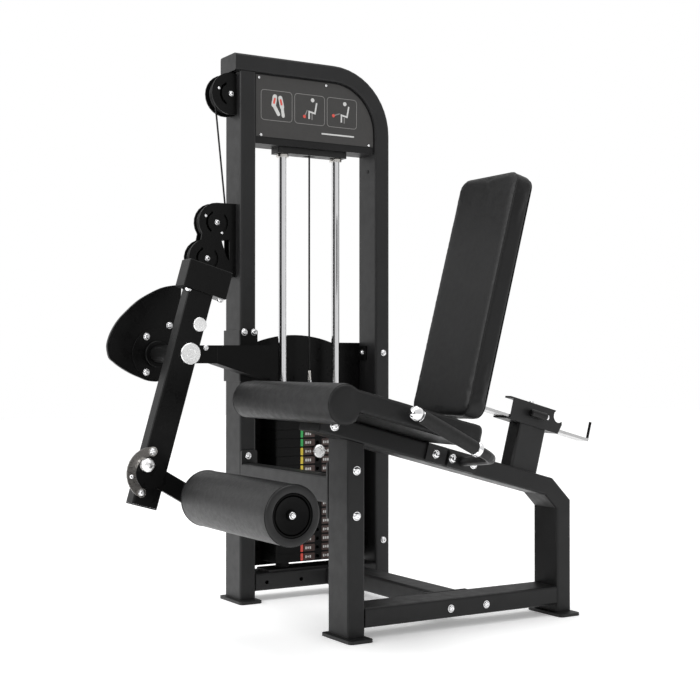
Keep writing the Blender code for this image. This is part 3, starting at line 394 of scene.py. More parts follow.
MATERIALS = {name: make(name, *settings) for name, make, *settings in (
    ("powder_black", make_powder, (0.011, 0.011, 0.0113)),
    ("powder_deep", make_powder, (0.0078, 0.0078, 0.0080), 0.42, 0.26),
    # Darker, duller black; on the stack guard it is painted shade.
    ("gloss_black", make_powder, (0.0045, 0.0045, 0.0045), 0.30, 0.12),
    ("panel_black", make_powder, (0.0085, 0.0085, 0.0087), 0.46, 0.22),
    ("plate_black", make_powder, (0.0035, 0.0035, 0.0035), 0.50, 0.13),
    ("placard_grey", make_print, (0.0245, 0.0232, 0.0220), 0.5),
    ("print_pale", make_print, (0.55, 0.55, 0.54), 0.5),
    ("print_line", make_print, (0.20, 0.195, 0.19), 0.5),
    ("print_red", make_print, (0.62, 0.07, 0.05), 0.5),
    ("print_yellow", make_print, (0.72, 0.55, 0.04), 0.5),
    ("print_green", make_print, (0.03, 0.38, 0.09), 0.5),
    ("label_brown", make_print, (0.040, 0.018, 0.014), 0.5),
    ("vinyl", make_vinyl, (0.0056, 0.0056, 0.0058), 0.44),
    ("welt", make_vinyl, (0.003, 0.003, 0.003), 0.50),
    ("foam", make_foam, (0.0055, 0.0055, 0.0057)),
    ("rubber", make_rubber, (0.012, 0.012, 0.012)),
    ("nylon_black", make_rubber, (0.004, 0.004, 0.004), 0.38),
    ("nylon_deep", make_rubber, (0.002, 0.002, 0.002), 0.45, 0.08),
    ("cable_black", make_rubber, (0.006, 0.006, 0.006), 0.45),
    ("chrome", make_metal, (0.88, 0.88, 0.89), 0.10),
    ("polished", make_metal, (0.95, 0.95, 0.95), 0.28, (1.0, 1.0, 1.0), 160.0, 0.02),
    ("satin_steel", make_metal, (0.50, 0.50, 0.50), 0.30, (0.2, 1.0, 1.0), 300.0, 0.06),
    ("nickel", make_metal, (0.62, 0.60, 0.57), 0.24, (1.0, 0.15, 1.0), 420.0, 0.06),
    ("dark_steel", make_metal, (0.20, 0.19, 0.18), 0.30, (1.0, 0.3, 1.0), 300.0, 0.05),
)}
# Nodes whose look differs from the one of their slot.
SPECIAL_FINISH = {node: finish for finish, nodes in (
    # The stack guard takes this darker black as painted shade, for the shadow it stands in behind the plates.
    ("gloss_black", "lever_tube cam_plate counterweight roller_arm "
     "mid_pulley_bracket top_pulley_bracket stack_guard"),
    ("plate_black", "pivot_bracket"),
    ("satin_steel", "backrest_bar"),
    ("polished", "selector_pin adjuster_pin"),
    ("dark_steel", "adjuster_plate"),
    ("powder_deep", "seat_beam seat_front_leg seat_bottom_rail"),
) for node in nodes.split()}
RECORD_SLOTS = {entry["node"]: entry["material_slot"] for entry in frame["record"]["subparts"]}


def finish_cad_nodes():
    """Give every CAD node the procedural material of its slot."""
    for name, node in NODES.items():
        material = MATERIALS[SPECIAL_FINISH.get(name, RECORD_SLOTS[name])]
        for slot in node.material_slots:
            slot.material = material
        if not node.material_slots:
            node.data.materials.append(material)
        node.data.shade_smooth()
        node.data.set_sharp_from_angle(angle=radians(32.0))


# ---- fasteners
@lru_cache(maxsize=None)
def bolt_mesh(radius, height):
    """Low button head with a hexagon socket, on local Z."""
    bm = bmesh.new()
    count = 24
    recess = 0.45
    outer = [(0.0, radius), (height * 0.25, radius), (height * 0.65, radius * 0.90)]
    outer += [(height * 0.92, radius * 0.70), (height, radius * (recess + 0.08))]
    rings = []
    for level, size in outer:
        rings.append([bm.verts.new((u, v, level)) for u, v in circle(size, count)])
    for level in (height, height * 0.35):
        ring = []
        for k in range(count):
            angle = 2.0 * pi * k / count
            sector = (angle + pi / 6.0) % (pi / 3.0) - pi / 6.0
            size = radius * recess * cos(pi / 6.0) / cos(sector)
            ring.append(bm.verts.new((size * cos(angle), size * sin(angle), level)))
        rings.append(ring)
    bridge(bm, zip(rings, rings[1:]))
    bm.faces.new(rings[0])
    bm.faces.new(rings[-1])
    return finished_mesh("bolt_mesh", bm, "chrome", 38.0)


@lru_cache(maxsize=None)
def washer_mesh(radius, bore, thick):
    bm = bmesh.new()
    edge = thick * 0.3
    profile = [(0.0, bore), (0.0, radius), (thick - edge, radius), (thick, radius - edge), (thick, bore)]
    lathe(bm, profile, 28)
    return finished_mesh("washer_mesh", bm, "chrome", 38.0)


def place_mesh(name, mesh, matrix, body):
    made = linked(name, mesh)
    made.matrix_world = matrix
    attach(made, body)


def bolt(name, point, normal, body, radius=0.009, height=0.005, washer=True):
    """A button-head bolt, on a washer, standing on a face."""
    head = bolt_mesh(radius, height)
    lift = 0.0016 if washer else 0.0
    if washer:
        ring = washer_mesh(radius * 1.20, radius * 0.5, lift)
        place_mesh(name + "_washer", ring, facing(point, normal), body)
    place_mesh(name, head, facing(Vector(point) + Vector(normal) * lift, normal), body)


def add_frame_bolts():
    """Bolts of the seat frame, the pivot clamp and the handles."""
    leg_y = box_middle("seat_front_leg").y
    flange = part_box("front_cross_tube")
    for k, height in enumerate((flange[1].z - 0.0165, flange[0].z + 0.0165)):
        bolt("leg_bolt_%d" % k, (BEAM_NEAR, leg_y, height), NEAR, "frame", 0.0095)
        bolt("flange_bolt_%d" % k, (CLAMP_NEAR, -0.004, height), NEAR, "frame", 0.008)
    for k, y in enumerate((0.277, 0.392)):
        bolt("rail_bolt_%d" % k, (BEAM_NEAR, y, 0.053), NEAR, "frame", 0.0085)
    bolt("beam_front_bolt", (BEAM_NEAR, -0.075, 0.537), NEAR, "frame", 0.011, 0.006)
    for k, y in enumerate((-0.017, 0.014)):
        bolt("clamp_bolt_top_%d" % k, (CLAMP_NEAR, y, 0.780), NEAR, "frame", 0.0085)
    bolt("arm_ring_bolt", (ARM_NEAR, -0.162, 0.7337), NEAR, "frame", 0.0065, 0.004)
    for k, along in enumerate((0.3187, 0.3880)):
        for side, label in ((-1, "right"), (1, "left")):
            point = on_slope(side * 0.0590, along, -0.0245)
            bolt("handle_bolt_%d_%s" % (k, label), point, NEAR * side, "frame", 0.010)


def add_guard_bolts():
    """Bolts that hold the stack guard to the rear upright and the front one."""
    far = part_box("stack_guard")[0].x
    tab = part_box("tower_base_tube")[1].y - 0.0033
    for k, (label, height) in enumerate((("top", 0.722), ("low", 0.1475))):
        bolt("guard_tab_bolt_" + label, (-0.022, tab, height), FRONTWARD, "frame", 0.007)
        bolt("rear_upright_bolt_%d" % k, (UPRIGHT_NEAR, 0.465, height), NEAR, "frame", 0.008)
        bolt("guard_far_bolt_%d" % k, (far, 0.465, height), -NEAR, "frame", 0.008)
        bolt("guard_front_bolt_%d" % k, (far, 0.0, height), -NEAR, "frame", 0.008)


def add_lever_bolts():
    """Bolts of the counterweight and the cam, and the studs of the index ring."""
    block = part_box("counterweight")
    for k, rear in enumerate((-0.052, 0.044)):
        point = on_lever(block[1].x - 0.006, 0.164, rear)
        bolt("counterweight_bolt_%d" % k, point, -LEVER_UP, "lever", 0.0085)
    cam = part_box("cam_plate")[1].x
    studs = ((121.0, 0.0575, 0.004), (239.0, 0.0590, 0.004), (63.0, 0.091, 0.0))
    for k, (angle, radius, lift) in enumerate(studs):
        across, upward = radius * cos(radians(angle)), radius * sin(radians(angle))
        bolt("cam_bolt_%d" % k, (cam + lift, KNEE.y + across, KNEE.z + upward), NEAR, "lever", 0.0080)
        bolt("cam_nut_%d" % k, (cam - 0.010, KNEE.y + across, KNEE.z + upward), -NEAR, "lever", 0.0080)
    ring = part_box("adjuster_plate")[1].x
    eye = [(0.0, 0.0105), (0.0, 0.0118), (0.0012, 0.0118), (0.0012, 0.0105)]
    for k, (angle, size) in enumerate(((88.0, 0.0072), (239.0, 0.0072), (186.0, 0.0060))):
        way = Vector((0.0, cos(radians(angle)), sin(radians(angle))))
        place = Vector((ring, INDEX.y, INDEX.z)) + way * 0.057
        bolt("adjuster_bolt_%d" % k, place, NEAR, "lever", size, 0.0045, k < 2)
        if k < 2:
            turned("adjuster_eye_%d" % k, eye, 36, facing(place, NEAR), "nickel", "lever")


def add_caps():
    """Chrome dress caps on the lever's faces."""
    for name, radius, up, rear in (("pivot_cap", 0.0285, 0.0, 0.0), ("lever_cap", 0.0190, 0.0824, 0.0045)):
        profile = [(0.0, 0.0), (0.0, radius), (0.0055, radius), (0.0070, radius - 0.0015)]
        profile += [(0.0074, radius * 0.46), (0.0070, radius * 0.44), (0.0070, radius * 0.41)]
        profile += [(0.0074, radius * 0.39), (0.0074, 0.0026), (0.0064, 0.0022), (0.0064, 0.0)]
        turned(name, profile, 48, facing(on_lever(LEVER_NEAR, up, rear), NEAR), "polished", "lever", "chrome")
    profile = [(0.0, 0.0), (0.0, 0.0152), (0.003, 0.0152), (0.004, 0.0133), (0.004, 0.0)]
    place = on_lever(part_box("lever_tube")[0].x, 0.0824, 0.0045)
    turned("lever_cap_far", profile, 32, facing(place, -NEAR), "chrome", "lever")


# ---- handles
def add_grips():
    """Smooth moulded grips with a lip at each end, chrome ball ends and chrome collars."""
    bore, thick, ball = 0.0129, 0.0168, 0.0178
    start = 0.0125
    for side in ("left", "right"):
        x = box_middle("grip_" + side).x
        front = Vector((x, 0.011, 0.5716))
        rear = Vector((x, 0.184, 0.4834))
        length = (rear - front).length
        matrix = facing(front, (rear - front).normalized())
        profile = [(start, bore), (start, 0.0150), (start + 0.0015, thick)]
        span = length - 0.006 - start
        for k in range(1, 12):
            place = start + 0.0015 + (span - 0.003) * k / 12.0
            profile.append((place, thick + 0.0005 * sin(pi * k / 12.0)))
        profile += [(length - 0.0075, thick), (length - 0.006, 0.0152), (length - 0.006, bore)]
        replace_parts(turned("grip_cover_" + side, profile, 40, matrix, "rubber", "frame"), "grip_" + side)
        profile = [(length - 0.0055, bore), (length - 0.0055, 0.0165), (length - 0.004, 0.0180)]
        profile += [(length + 0.007, 0.0180), (length + 0.0085, 0.0165), (length + 0.0085, bore)]
        turned("grip_collar_" + side, profile, 40, matrix, "chrome", "frame")
        profile = [(-0.004 - ball, 0.0)]
        profile += [(-0.004 - ball * cos(radians(a)), ball * sin(radians(a))) for a in range(8, 150, 8)]
        profile += [(0.0123, 0.0135), (0.0123, 0.0)]
        turned("grip_ball_" + side, profile, 40, matrix, "chrome", "frame", None, 50.0)


# ---- upholstery
COVER_VOXEL = 0.005
COVER_INSET = 0.0015              # the covers start this much small, and swell
COVER_SWELL = 0.0022
CLOTH_PRESSURE = 4.0
CLOTH_STIFFNESS = 40.0
CLOTH_FRAMES = 20

PAD_HALF = 0.252                  # the seat pad, on the slope
PAD_REAR = 0.258
PAD_THICK = 0.054
PAD_FLOOR = 0.0026
ROLL = (-0.145, 0.011)
ROLL_RADIUS = 0.0487
BACK_FRONT = 0.281                # the backrest pad, on the slope
BACK_BOARD = 0.3378
BACK_HALF = 0.1305
BACK_SPAN = (0.081, 0.750)


def bake_modifiers(made):
    """Replace an object's mesh with its evaluated one."""
    graph = bpy.context.evaluated_depsgraph_get()
    fresh = bpy.data.meshes.new_from_object(made.evaluated_get(graph))
    made.modifiers.clear()
    old = made.data
    made.data = fresh
    bpy.data.meshes.remove(old)


def swell(made):
    """Blow up a closed cover by cloth under pressure, with no gravity."""
    cloth = made.modifiers.new("cloth", "CLOTH")
    settings = cloth.settings
    settings.quality = 4
    settings.mass = 0.3
    settings.use_pressure = True
    settings.uniform_pressure_force = CLOTH_PRESSURE
    settings.effector_weights.gravity = 0.0
    settings.tension_stiffness = CLOTH_STIFFNESS
    settings.compression_stiffness = CLOTH_STIFFNESS
    settings.bending_stiffness = CLOTH_STIFFNESS / 4.0
    cloth.collision_settings.use_collision = False
    cloth.point_cache.frame_start = 1
    cloth.point_cache.frame_end = CLOTH_FRAMES
    for step in range(1, CLOTH_FRAMES + 1):
        bpy.context.scene.frame_set(step)
    bake_modifiers(made)
    bpy.context.scene.frame_set(1)


def add_cover(name, bm, hold, node, body):
    """Vinyl cover of a CAD node: a solid remeshed and swollen by a capped distance.

    hold keeps each point of it in the cover's own space.
    """
    made = linked(name, outward_mesh(name, bm))
    remesh = made.modifiers.new("remesh", "REMESH")
    remesh.mode = "VOXEL"
    remesh.voxel_size = COVER_VOXEL
    bake_modifiers(made)
    rest = [vertex.co.copy() for vertex in made.data.vertices]
    swell(made)
    for vertex, start in zip(made.data.vertices, rest):
        move = vertex.co - start
        if move.length > COVER_SWELL:
            move *= COVER_SWELL / move.length
        vertex.co = hold(start + move)
    made.data.materials.clear()
    made.data.materials.append(MATERIALS["vinyl"])
    made.data.shade_smooth()
    smooth = made.modifiers.new("surface", "SUBSURF")
    smooth.levels = 1
    smooth.render_levels = 1
    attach(made, body)
    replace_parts(made, node)
    return made


def surface_path(made, points):
    """Carry points on to the nearest place of a finished cover, a little under its skin."""
    tree = BVHTree.FromObject(made, bpy.context.evaluated_depsgraph_get())
    path = []
    for point in points:
        place, normal, _, _ = tree.find_nearest(point)
        path.append(place - normal * 0.0004)
    return path


def dense_loop(points):
    """More points along a closed outline, about 6 mm apart."""
    result = []
    for k, point in enumerate(points):
        following = points[(k + 1) % len(points)]
        count = max(1, int((following - point).length / 0.006))
        result += [point.lerp(following, i / count) for i in range(count)]
    return result


def inset_extrusion(outline, levels, place):
    """Closed solid through scaled copies of an outline; place turns (u, v, level) into a point."""
    us = [u for u, _ in outline]
    vs = [v for _, v in outline]
    mid_u, mid_v = (min(us) + max(us)) / 2.0, (min(vs) + max(vs)) / 2.0
    wide, tall = max(us) - min(us), max(vs) - min(vs)
    bm = bmesh.new()
    rings = []
    for level, inset in levels:
        scale_u, scale_v = 1.0 - 2.0 * inset / wide, 1.0 - 2.0 * inset / tall
        scaled = [(mid_u + (u - mid_u) * scale_u, mid_v + (v - mid_v) * scale_v) for u, v in outline]
        rings.append([bm.verts.new(place(u, v, level)) for u, v in scaled])
    bridge(bm, zip(rings, rings[1:]))
    bm.faces.new(rings[0])
    bm.faces.new(rings[-1])
    return bm


def seat_outline(inset):
    """Side view of the seat cushion, on the slope: slab with a front roll."""
    radius = ROLL_RADIUS - inset
    top = PAD_THICK - inset
    low = PAD_FLOOR
    over = degrees(atan2(top - ROLL[1], sqrt(radius ** 2 - (top - ROLL[1]) ** 2)))
    under = degrees(atan2(ROLL[1] - low, sqrt(radius ** 2 - (ROLL[1] - low) ** 2)))
    outline = arc((PAD_REAR - inset - 0.006, low + 0.006), 0.006, -90.0, 0.0, 3)
    outline += arc((PAD_REAR - inset - 0.016, top - 0.016), 0.016, 0.0, 90.0, 6)
    outline += arc(ROLL, radius, over, 360.0 - under, 40)
    return outline


def hold_seat(point):
    """Keep the seat's cover off its board and inside the pad's width."""
    local = point - SLOPE_ORIGIN
    above = local.dot(UP_SLOPE)
    if above < PAD_FLOOR and local.dot(DOWN_SLOPE) > ROLL[0] + 0.040:
        point = point + UP_SLOPE * (PAD_FLOOR - above)
    limit = PAD_HALF + 0.003
    if abs(local.x) > limit:
        point = point - NEAR * (local.x - limit * (1 if local.x > 0 else -1))
    return point


def add_seat_cushion():
    """Seat cushion, inflated over its board, with a welt round each side panel."""
    half = PAD_HALF - COVER_INSET
    levels = [(-half, 0.005), (-half + 0.0015, 0.0025), (-half + 0.005, 0.0)]
    levels += [(half - 0.005, 0.0), (half - 0.0015, 0.0025), (half, 0.005)]
    bm = inset_extrusion(seat_outline(COVER_INSET), levels, lambda u, v, level: on_slope(level, u, v))
    cushion = add_cover("seat_cushion", bm, hold_seat, "seat_pad", "frame")
    board = rounded_rectangle(2 * PAD_HALF - 0.018, 0.345, 0.010, 5)
    matrix = facing(on_slope(0.0, PAD_REAR - 0.182, 0.0005), UP_SLOPE, DOWN_SLOPE)
    slab("seat_board", board, 0.0020, matrix, "nylon_black", "frame")
    for side, label in ((-1, "right"), (1, "left")):
        outline = [on_slope(side * (PAD_HALF - 0.007), u, v) for u, v in seat_outline(0.0)]
        path = surface_path(cushion, dense_loop(outline))
        bead("seat_welt_" + label, path, 0.0016, 8, "welt", "frame", "vinyl")


def hold_back(point):
    """Keep the backrest's cover in front of its board."""
    along = (point - SLOPE_ORIGIN).dot(DOWN_SLOPE)
    if along > BACK_BOARD:
        point = point - DOWN_SLOPE * (along - BACK_BOARD)
    return point


def add_back_cushion():
    """Backrest cushion: flat on its spine, crowned in front, with a welt round the front panel."""
    middle = (BACK_SPAN[0] + BACK_SPAN[1]) / 2.0
    tall = BACK_SPAN[1] - BACK_SPAN[0]
    wide = 2 * BACK_HALF
    inner = (2 * (BACK_HALF - COVER_INSET), tall - 2 * COVER_INSET)
    outline = rounded_rectangle(*inner, 0.036, 8, (0.0, middle))
    front = BACK_FRONT + COVER_INSET
    levels = [(front, 0.004), (front + 0.001, 0.0015), (front + 0.004, 0.0)]
    levels += [(BACK_BOARD - 0.008, 0.0), (BACK_BOARD - 0.0025, 0.002), (BACK_BOARD, 0.006)]
    bm = inset_extrusion(outline, levels, lambda u, v, level: on_slope(u, level, v))
    cushion = add_cover("back_cushion", bm, hold_back, "backrest_pad", "backrest")
    board = [(-u, v) for u, v in rounded_rectangle(wide - 0.014, tall - 0.014, 0.032, 8, (0.0, middle))]
    matrix = facing(on_slope(0.0, BACK_BOARD + 0.0001, 0.0), DOWN_SLOPE, UP_SLOPE)
    slab("back_board", board, 0.0018, matrix, "nylon_black", "backrest")
    outer = rounded_rectangle(wide, tall, 0.038, 10, (0.0, middle))
    path = surface_path(cushion, dense_loop([on_slope(u, BACK_FRONT + 0.0050, v) for u, v in outer]))
    bead("back_welt", path, 0.0019, 8, "welt", "backrest", "vinyl")


def add_foot_roller():
    """Foam roller: slight crown, rounded shoulders, a recess for the end disc."""
    low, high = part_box("foot_roller")
    radius = (high.z - low.z) / 2.0
    length = high.x - low.x
    matrix = facing(Vector((low.x, ROLLER.y, ROLLER.z)), NEAR)
    bore, mouth, depth = 0.0135, 0.0522, 0.0135
    profile = [(0.0, bore), (0.0, radius - 0.010)]
    for a in range(10, 91, 16):
        profile.append((0.008 - 0.008 * cos(radians(a)), radius - 0.009 + 0.008 * sin(radians(a))))
    for k in range(1, 16):
        profile.append((length * k / 16.0, radius - 0.001 + 0.0010 * sin(pi * k / 16.0)))
    for a in range(90, 9, -16):
        profile.append((length - 0.006 + 0.006 * cos(radians(a)), radius - 0.007 + 0.006 * sin(radians(a))))
    profile += [(length, radius - 0.010), (length, mouth + 0.003), (length - 0.0015, mouth)]
    profile += [(length - depth, mouth), (length - depth, bore)]
    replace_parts(turned("foot_roller_foam", profile, 72, matrix, "foam", "roller", None, 40.0), "foot_roller")
    for name, place in (("near", length - 0.0048), ("far", 0.0048)):
        ring = [matrix @ Vector((u, v, place)) for u, v in circle(radius - 0.0012, 96)]
        bead("roller_seam_" + name, ring, 0.0013, 8, "welt", "roller", "foam")
    add_roller_disc(matrix, length, bore, mouth - 0.0012, depth)
    bolt("roller_end_bolt", Vector((high.x - 0.0035, ROLLER.y, ROLLER.z)), NEAR, "roller", 0.0070, 0.0065)


def add_roller_disc(matrix, top, bore, rim, depth):
    """Dished end disc with a raised rim and a hub, sunk into the foam."""
    profile = [(top - depth + 0.0006, bore), (top - depth + 0.0006, rim), (top - 0.0040, rim)]
    profile += [(top - 0.0028, rim - 0.0015), (top - 0.0028, rim - 0.0040)]
    profile += [(top - 0.0080, rim - 0.0058), (top - 0.0050, rim - 0.0072)]
    dish = rim - 0.0085
    for k in range(9):
        share = k / 8.0
        profile.append((top - 0.0036 - 0.0060 * (1 - (1 - share) ** 2), dish - (dish - 0.013) * share))
    profile += [(top - 0.0050, 0.0120), (top - 0.0035, 0.0105), (top - 0.0035, bore * 0.5)]
    profile += [(top - 0.010, bore * 0.5), (top - 0.010, bore)]
    disc = turned("roller_end_disc", profile, 72, matrix, "nylon_deep", "roller", "nylon_black", 40.0)
    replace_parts(disc, "roller_end_cap")


# ---- cable drive
def add_pulleys():
    """Grooved nylon wheels with a dished web and a hub, and axle bolts."""
    for name, bracket in (
        ("top_pulley", "top_pulley_bracket"),
        ("inner_pulley", "inner_pulley_bracket"),
        ("mid_pulley_upper", "mid_pulley_bracket"),
        ("mid_pulley_lower", "mid_pulley_bracket"),
    ):
        low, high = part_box(name)
        centre = Vector(JOINTS[name + "_spin"]["pos_m"])
        radius = (high.z - low.z) / 2.0
        half = (high.x - low.x) / 2.0 - 0.0005
        groove = radius - 0.0143
        flank = [(half, 0.0068), (half, 0.015), (half - 0.0015, 0.0165), (0.005, 0.018)]
        flank += [(0.005, groove - 0.010), (half - 0.002, groove - 0.007), (half, groove - 0.005)]
        flank += [(half, radius - 0.001), (half - 0.001, radius), (half - 0.002, radius - 0.0005)]
        profile = [(-place, size) for place, size in flank]
        for a in range(0, 181, 20):
            profile.append((-0.0034 * cos(radians(a)), groove + 0.0034 - 0.0034 * sin(radians(a))))
        profile += reversed(flank)
        wheel = turned(name + "_wheel", profile, 56, facing(centre, NEAR), "nylon_black", name, None, 40.0)
        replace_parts(wheel, name)
        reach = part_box(bracket)[1].x - 0.0045
        for side, label in ((-1, "far"), (1, "near")):
            point = Vector((side * reach, centre.y, centre.z))
            bolt("%s_axle_%s" % (name, label), point, NEAR * side, "frame", 0.0066, 0.0060)


# ---- cam
def cam_radius(edges, angle):
    """How far the cam reaches from the knee axis in a direction."""
    way = Vector((cos(angle), sin(angle)))
    best = 0.0
    for first, second in edges:
        step = second - first
        turn = way.cross(step)
        if abs(turn) < 1e-12:
            continue
        reach = first.cross(step) / turn
        share = first.cross(way) / turn
        if 0.0 <= share <= 1.0 and reach > best:
            best = reach
    return best


def cam_edges():
    """The cam's outline about the knee axis, as segments."""
    node = NODES["cam_plate"]
    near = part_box("cam_plate")[1].x
    places = [node.matrix_world @ vertex.co for vertex in node.data.vertices]
    segments = []
    for edge in node.data.edges:
        ends = [places[k] for k in edge.vertices]
        if all(abs(end.x - near) < 1e-5 for end in ends):
            segments.append([Vector((end.y - KNEE.y, end.z - KNEE.z)) for end in ends])
    return segments


def add_cam_trim():
    """Bead along the cam's edge, hub disc, boss and bearing flanges."""
    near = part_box("cam_plate")[1].x
    edges = cam_edges()
    angles = [2.0 * pi * k / 160.0 for k in range(160)]
    reaches = [cam_radius(edges, angle) for angle in angles]
    rim, disc = [], []
    for reach, angle in zip(reaches, angles):
        edge = reach - 0.0035
        rim.append(Vector((near + 0.0002, KNEE.y + edge * cos(angle), KNEE.z + edge * sin(angle))))
        inner = min(0.0715, reach - 0.006)
        disc.append((inner * cos(angle), inner * sin(angle)))
    bead("cam_bead", rim, 0.0012, 6, "gloss_black", "lever", "powder_black")
    matrix = facing(Vector((near + 0.0001, KNEE.y, KNEE.z)), NEAR)
    bore = [circle(0.0155, 32)]
    slab("cam_hub_disc", disc, 0.0039, matrix, "gloss_black", "lever", "powder_black", 0.0008, bore)
    profile = [(0.0, 0.0155), (0.0, 0.020), (0.0030, 0.020), (0.0038, 0.0192), (0.0038, 0.0155)]
    turned("cam_boss", profile, 40, facing(Vector((near + 0.0041, KNEE.y, KNEE.z)), NEAR), "nickel", "lever")
    for label, start, radius in (("far", 0.0227, 0.037), ("near", 0.1775, 0.032)):
        profile = [(0.0, 0.0243), (0.0, radius - 0.001), (0.001, radius), (0.0065, radius)]
        profile += [(0.0078, radius - 0.0013), (0.0078, 0.0243)]
        matrix = facing(Vector((start, KNEE.y, KNEE.z)), NEAR)
        turned("bearing_flange_" + label, profile, 48, matrix, "gloss_black", "frame", "powder_black")


# ---- prints
PRINT_THICK = 0.00035
FRAMES = ((0.0456, 0.1489), (0.1578, 0.2602), (0.2694, 0.3732))     # the placard's panels
FRAME_HEIGHT = (1.403, 1.491)
PLATE_PITCH = 0.026


def strip(bm, points, wide, matrix, closed=False):
    """Flat printed line with mitred corners, in local XY."""
    spots = [Vector(point) for point in points]
    last = len(spots) - 1
    sides = []
    for k, spot in enumerate(spots):
        ahead = spots[(k + 1) % len(spots)] if closed or k < last else spot * 2.0 - spots[k - 1]
        behind = spots[k - 1] if closed or k > 0 else spot * 2.0 - ahead
        first = (spot - behind).normalized()
        second = (ahead - spot).normalized()
        across = Vector((-(first + second).y, (first + second).x)).normalized()
        lean = max(0.35, across.dot(Vector((-first.y, first.x))))
        offset = across * (wide / 2.0 / lean)
        ring = []
        for corner, level in ((spot + offset, (0.0, PRINT_THICK)), (spot - offset, (PRINT_THICK, 0.0))):
            ring += [bm.verts.new(matrix @ Vector((corner.x, corner.y, height))) for height in level]
        sides.append(ring)
    pairs = list(zip(sides, sides[1:]))
    if closed:
        pairs.append((sides[-1], sides[0]))
    else:
        bm.faces.new(sides[0])
        bm.faces.new(sides[-1])
    bridge(bm, pairs)


def capsule(start, end, radius):
    """Outline of a round-ended bar from start to end."""
    lean = degrees(atan2(end[1] - start[1], end[0] - start[0]))
    return arc(end, radius, lean - 90.0, lean + 90.0, 6) + arc(start, radius, lean + 90.0, lean + 270.0, 6)


def draw_legs(pale, red, middle, matrix):
    """Two bent legs with a mark on each thigh."""
    def bar(start, end, radius):
        return capsule(*[(middle[0] + u, middle[1] + v) for u, v in (start, end)], radius)

    for hip, knee, foot, thigh, shin in (
        ((-0.006, 0.026), (-0.010, 0.002), (0.006, -0.024), 0.0075, 0.0055),
        ((0.012, 0.024), (0.018, -0.002), (0.022, -0.028), 0.0070, 0.0050),
    ):
        plate(pale, bar(hip, knee, thigh), 0.0, PRINT_THICK + 0.0001, matrix)
        plate(pale, bar(knee, foot, shin), 0.0, PRINT_THICK, matrix)
    for start, end in (((-0.0065, 0.020), (-0.009, 0.008)), ((0.013, 0.018), (0.016, 0.006))):
        plate(red, bar(start, end, 0.0032), 0.0002, 0.0007, matrix)


def draw_sitter(pale, line, red, middle, toe, matrix):
    """A seated figure made of lines, with its foot at toe from the knee."""
    y, z = middle
    seat = [(y - 0.002, z - 0.028), (y - 0.002, z - 0.006), (y + 0.018, z - 0.010), (y + 0.024, z + 0.022)]
    strip(pale, seat, 0.0050, matrix)
    strip(line, [(y + 0.008, z - 0.030), (y + 0.008, z - 0.012)], 0.0035, matrix)
    plate(pale, circle(0.0062, 20, (y + 0.010, z + 0.029)), 0.0, PRINT_THICK, matrix)
    knee = (y - 0.008, z - 0.002)
    foot = (knee[0] + toe[0], knee[1] + toe[1])
    strip(line, [knee, foot], 0.0032, matrix)
    plate(red, circle(0.0050, 20, foot), 0.0002, 0.0006, matrix)


def add_placard_print():
    """Three framed panels with plain seat-and-lever diagrams, a short rule and four screws."""
    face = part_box("instruction_placard")[1].x
    matrix = facing(Vector((face, 0.0, 0.0)), NEAR)
    pale, line, red = bmesh.new(), bmesh.new(), bmesh.new()
    low, high = FRAME_HEIGHT
    for (left, right), toe in zip(FRAMES, (None, (-0.010, -0.020), (-0.022, -0.008))):
        middle = ((left + right) / 2.0, (low + high) / 2.0)
        strip(line, rounded_rectangle(right - left, high - low, 0.010, 6, middle), 0.0016, matrix, True)
        if toe:
            draw_sitter(pale, line, red, middle, toe, matrix)
        else:
            draw_legs(pale, red, middle, matrix)
    strip(pale, [(0.250, 1.379), (0.364, 1.379)], 0.0045, matrix)
    for name, bm in (("pale", pale), ("line", line), ("red", red)):
        piece("placard_" + name, bm, "print_" + name, "frame", None, 30.0)
    for k, (y, z) in enumerate(((0.0386, 1.5247), (0.2659, 1.5251), (0.0457, 1.3576), (0.4175, 1.3574))):
        bolt("placard_screw_%d" % k, (face, y, z), NEAR, "frame", 0.0040, 0.0022, False)


def add_stack_labels():
    """A coloured tick and two dark labels with pale marks on every plate."""
    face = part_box("rest_plates")[1].x
    matrix = facing(Vector((face, 0.0, 0.0)), NEAR)
    sheets = defaultdict(bmesh.new)
    for k in range(18):
        middle = 0.117 + PLATE_PITCH * k
        body = "frame" if k < 12 else "stack"
        colour = "print_red" if k < 7 else "print_yellow" if k < 13 else "print_green"
        tick, label, mark = [sheets[body, name] for name in (colour, "label_brown", "print_pale")]
        plate(tick, rounded_rectangle(0.0085, 0.0215, 0.0015, 3, (0.1775, middle)), 0.0001, 0.0006, matrix)
        for left, right in ((0.1845, 0.2215), (0.2455, 0.2725)):
            shape = rounded_rectangle(right - left, 0.0205, 0.002, 3, ((left + right) / 2.0, middle))
            plate(label, shape, 0.0001, 0.0005, matrix)
        for first in (0.1885, 0.2490):
            for step, tall in enumerate((0.0080, 0.0050 + 0.0015 * (k % 3), 0.0080)):
                centre = (first + 0.0032 + 0.0072 * step, middle)
                plate(mark, rounded_rectangle(0.0046, tall, 0.0012, 2, centre), 0.0003, 0.0008, matrix)
    for (body, name), bm in sheets.items():
        piece("stack_label_%s_%s" % (body, name), bm, name, body, None, 30.0)


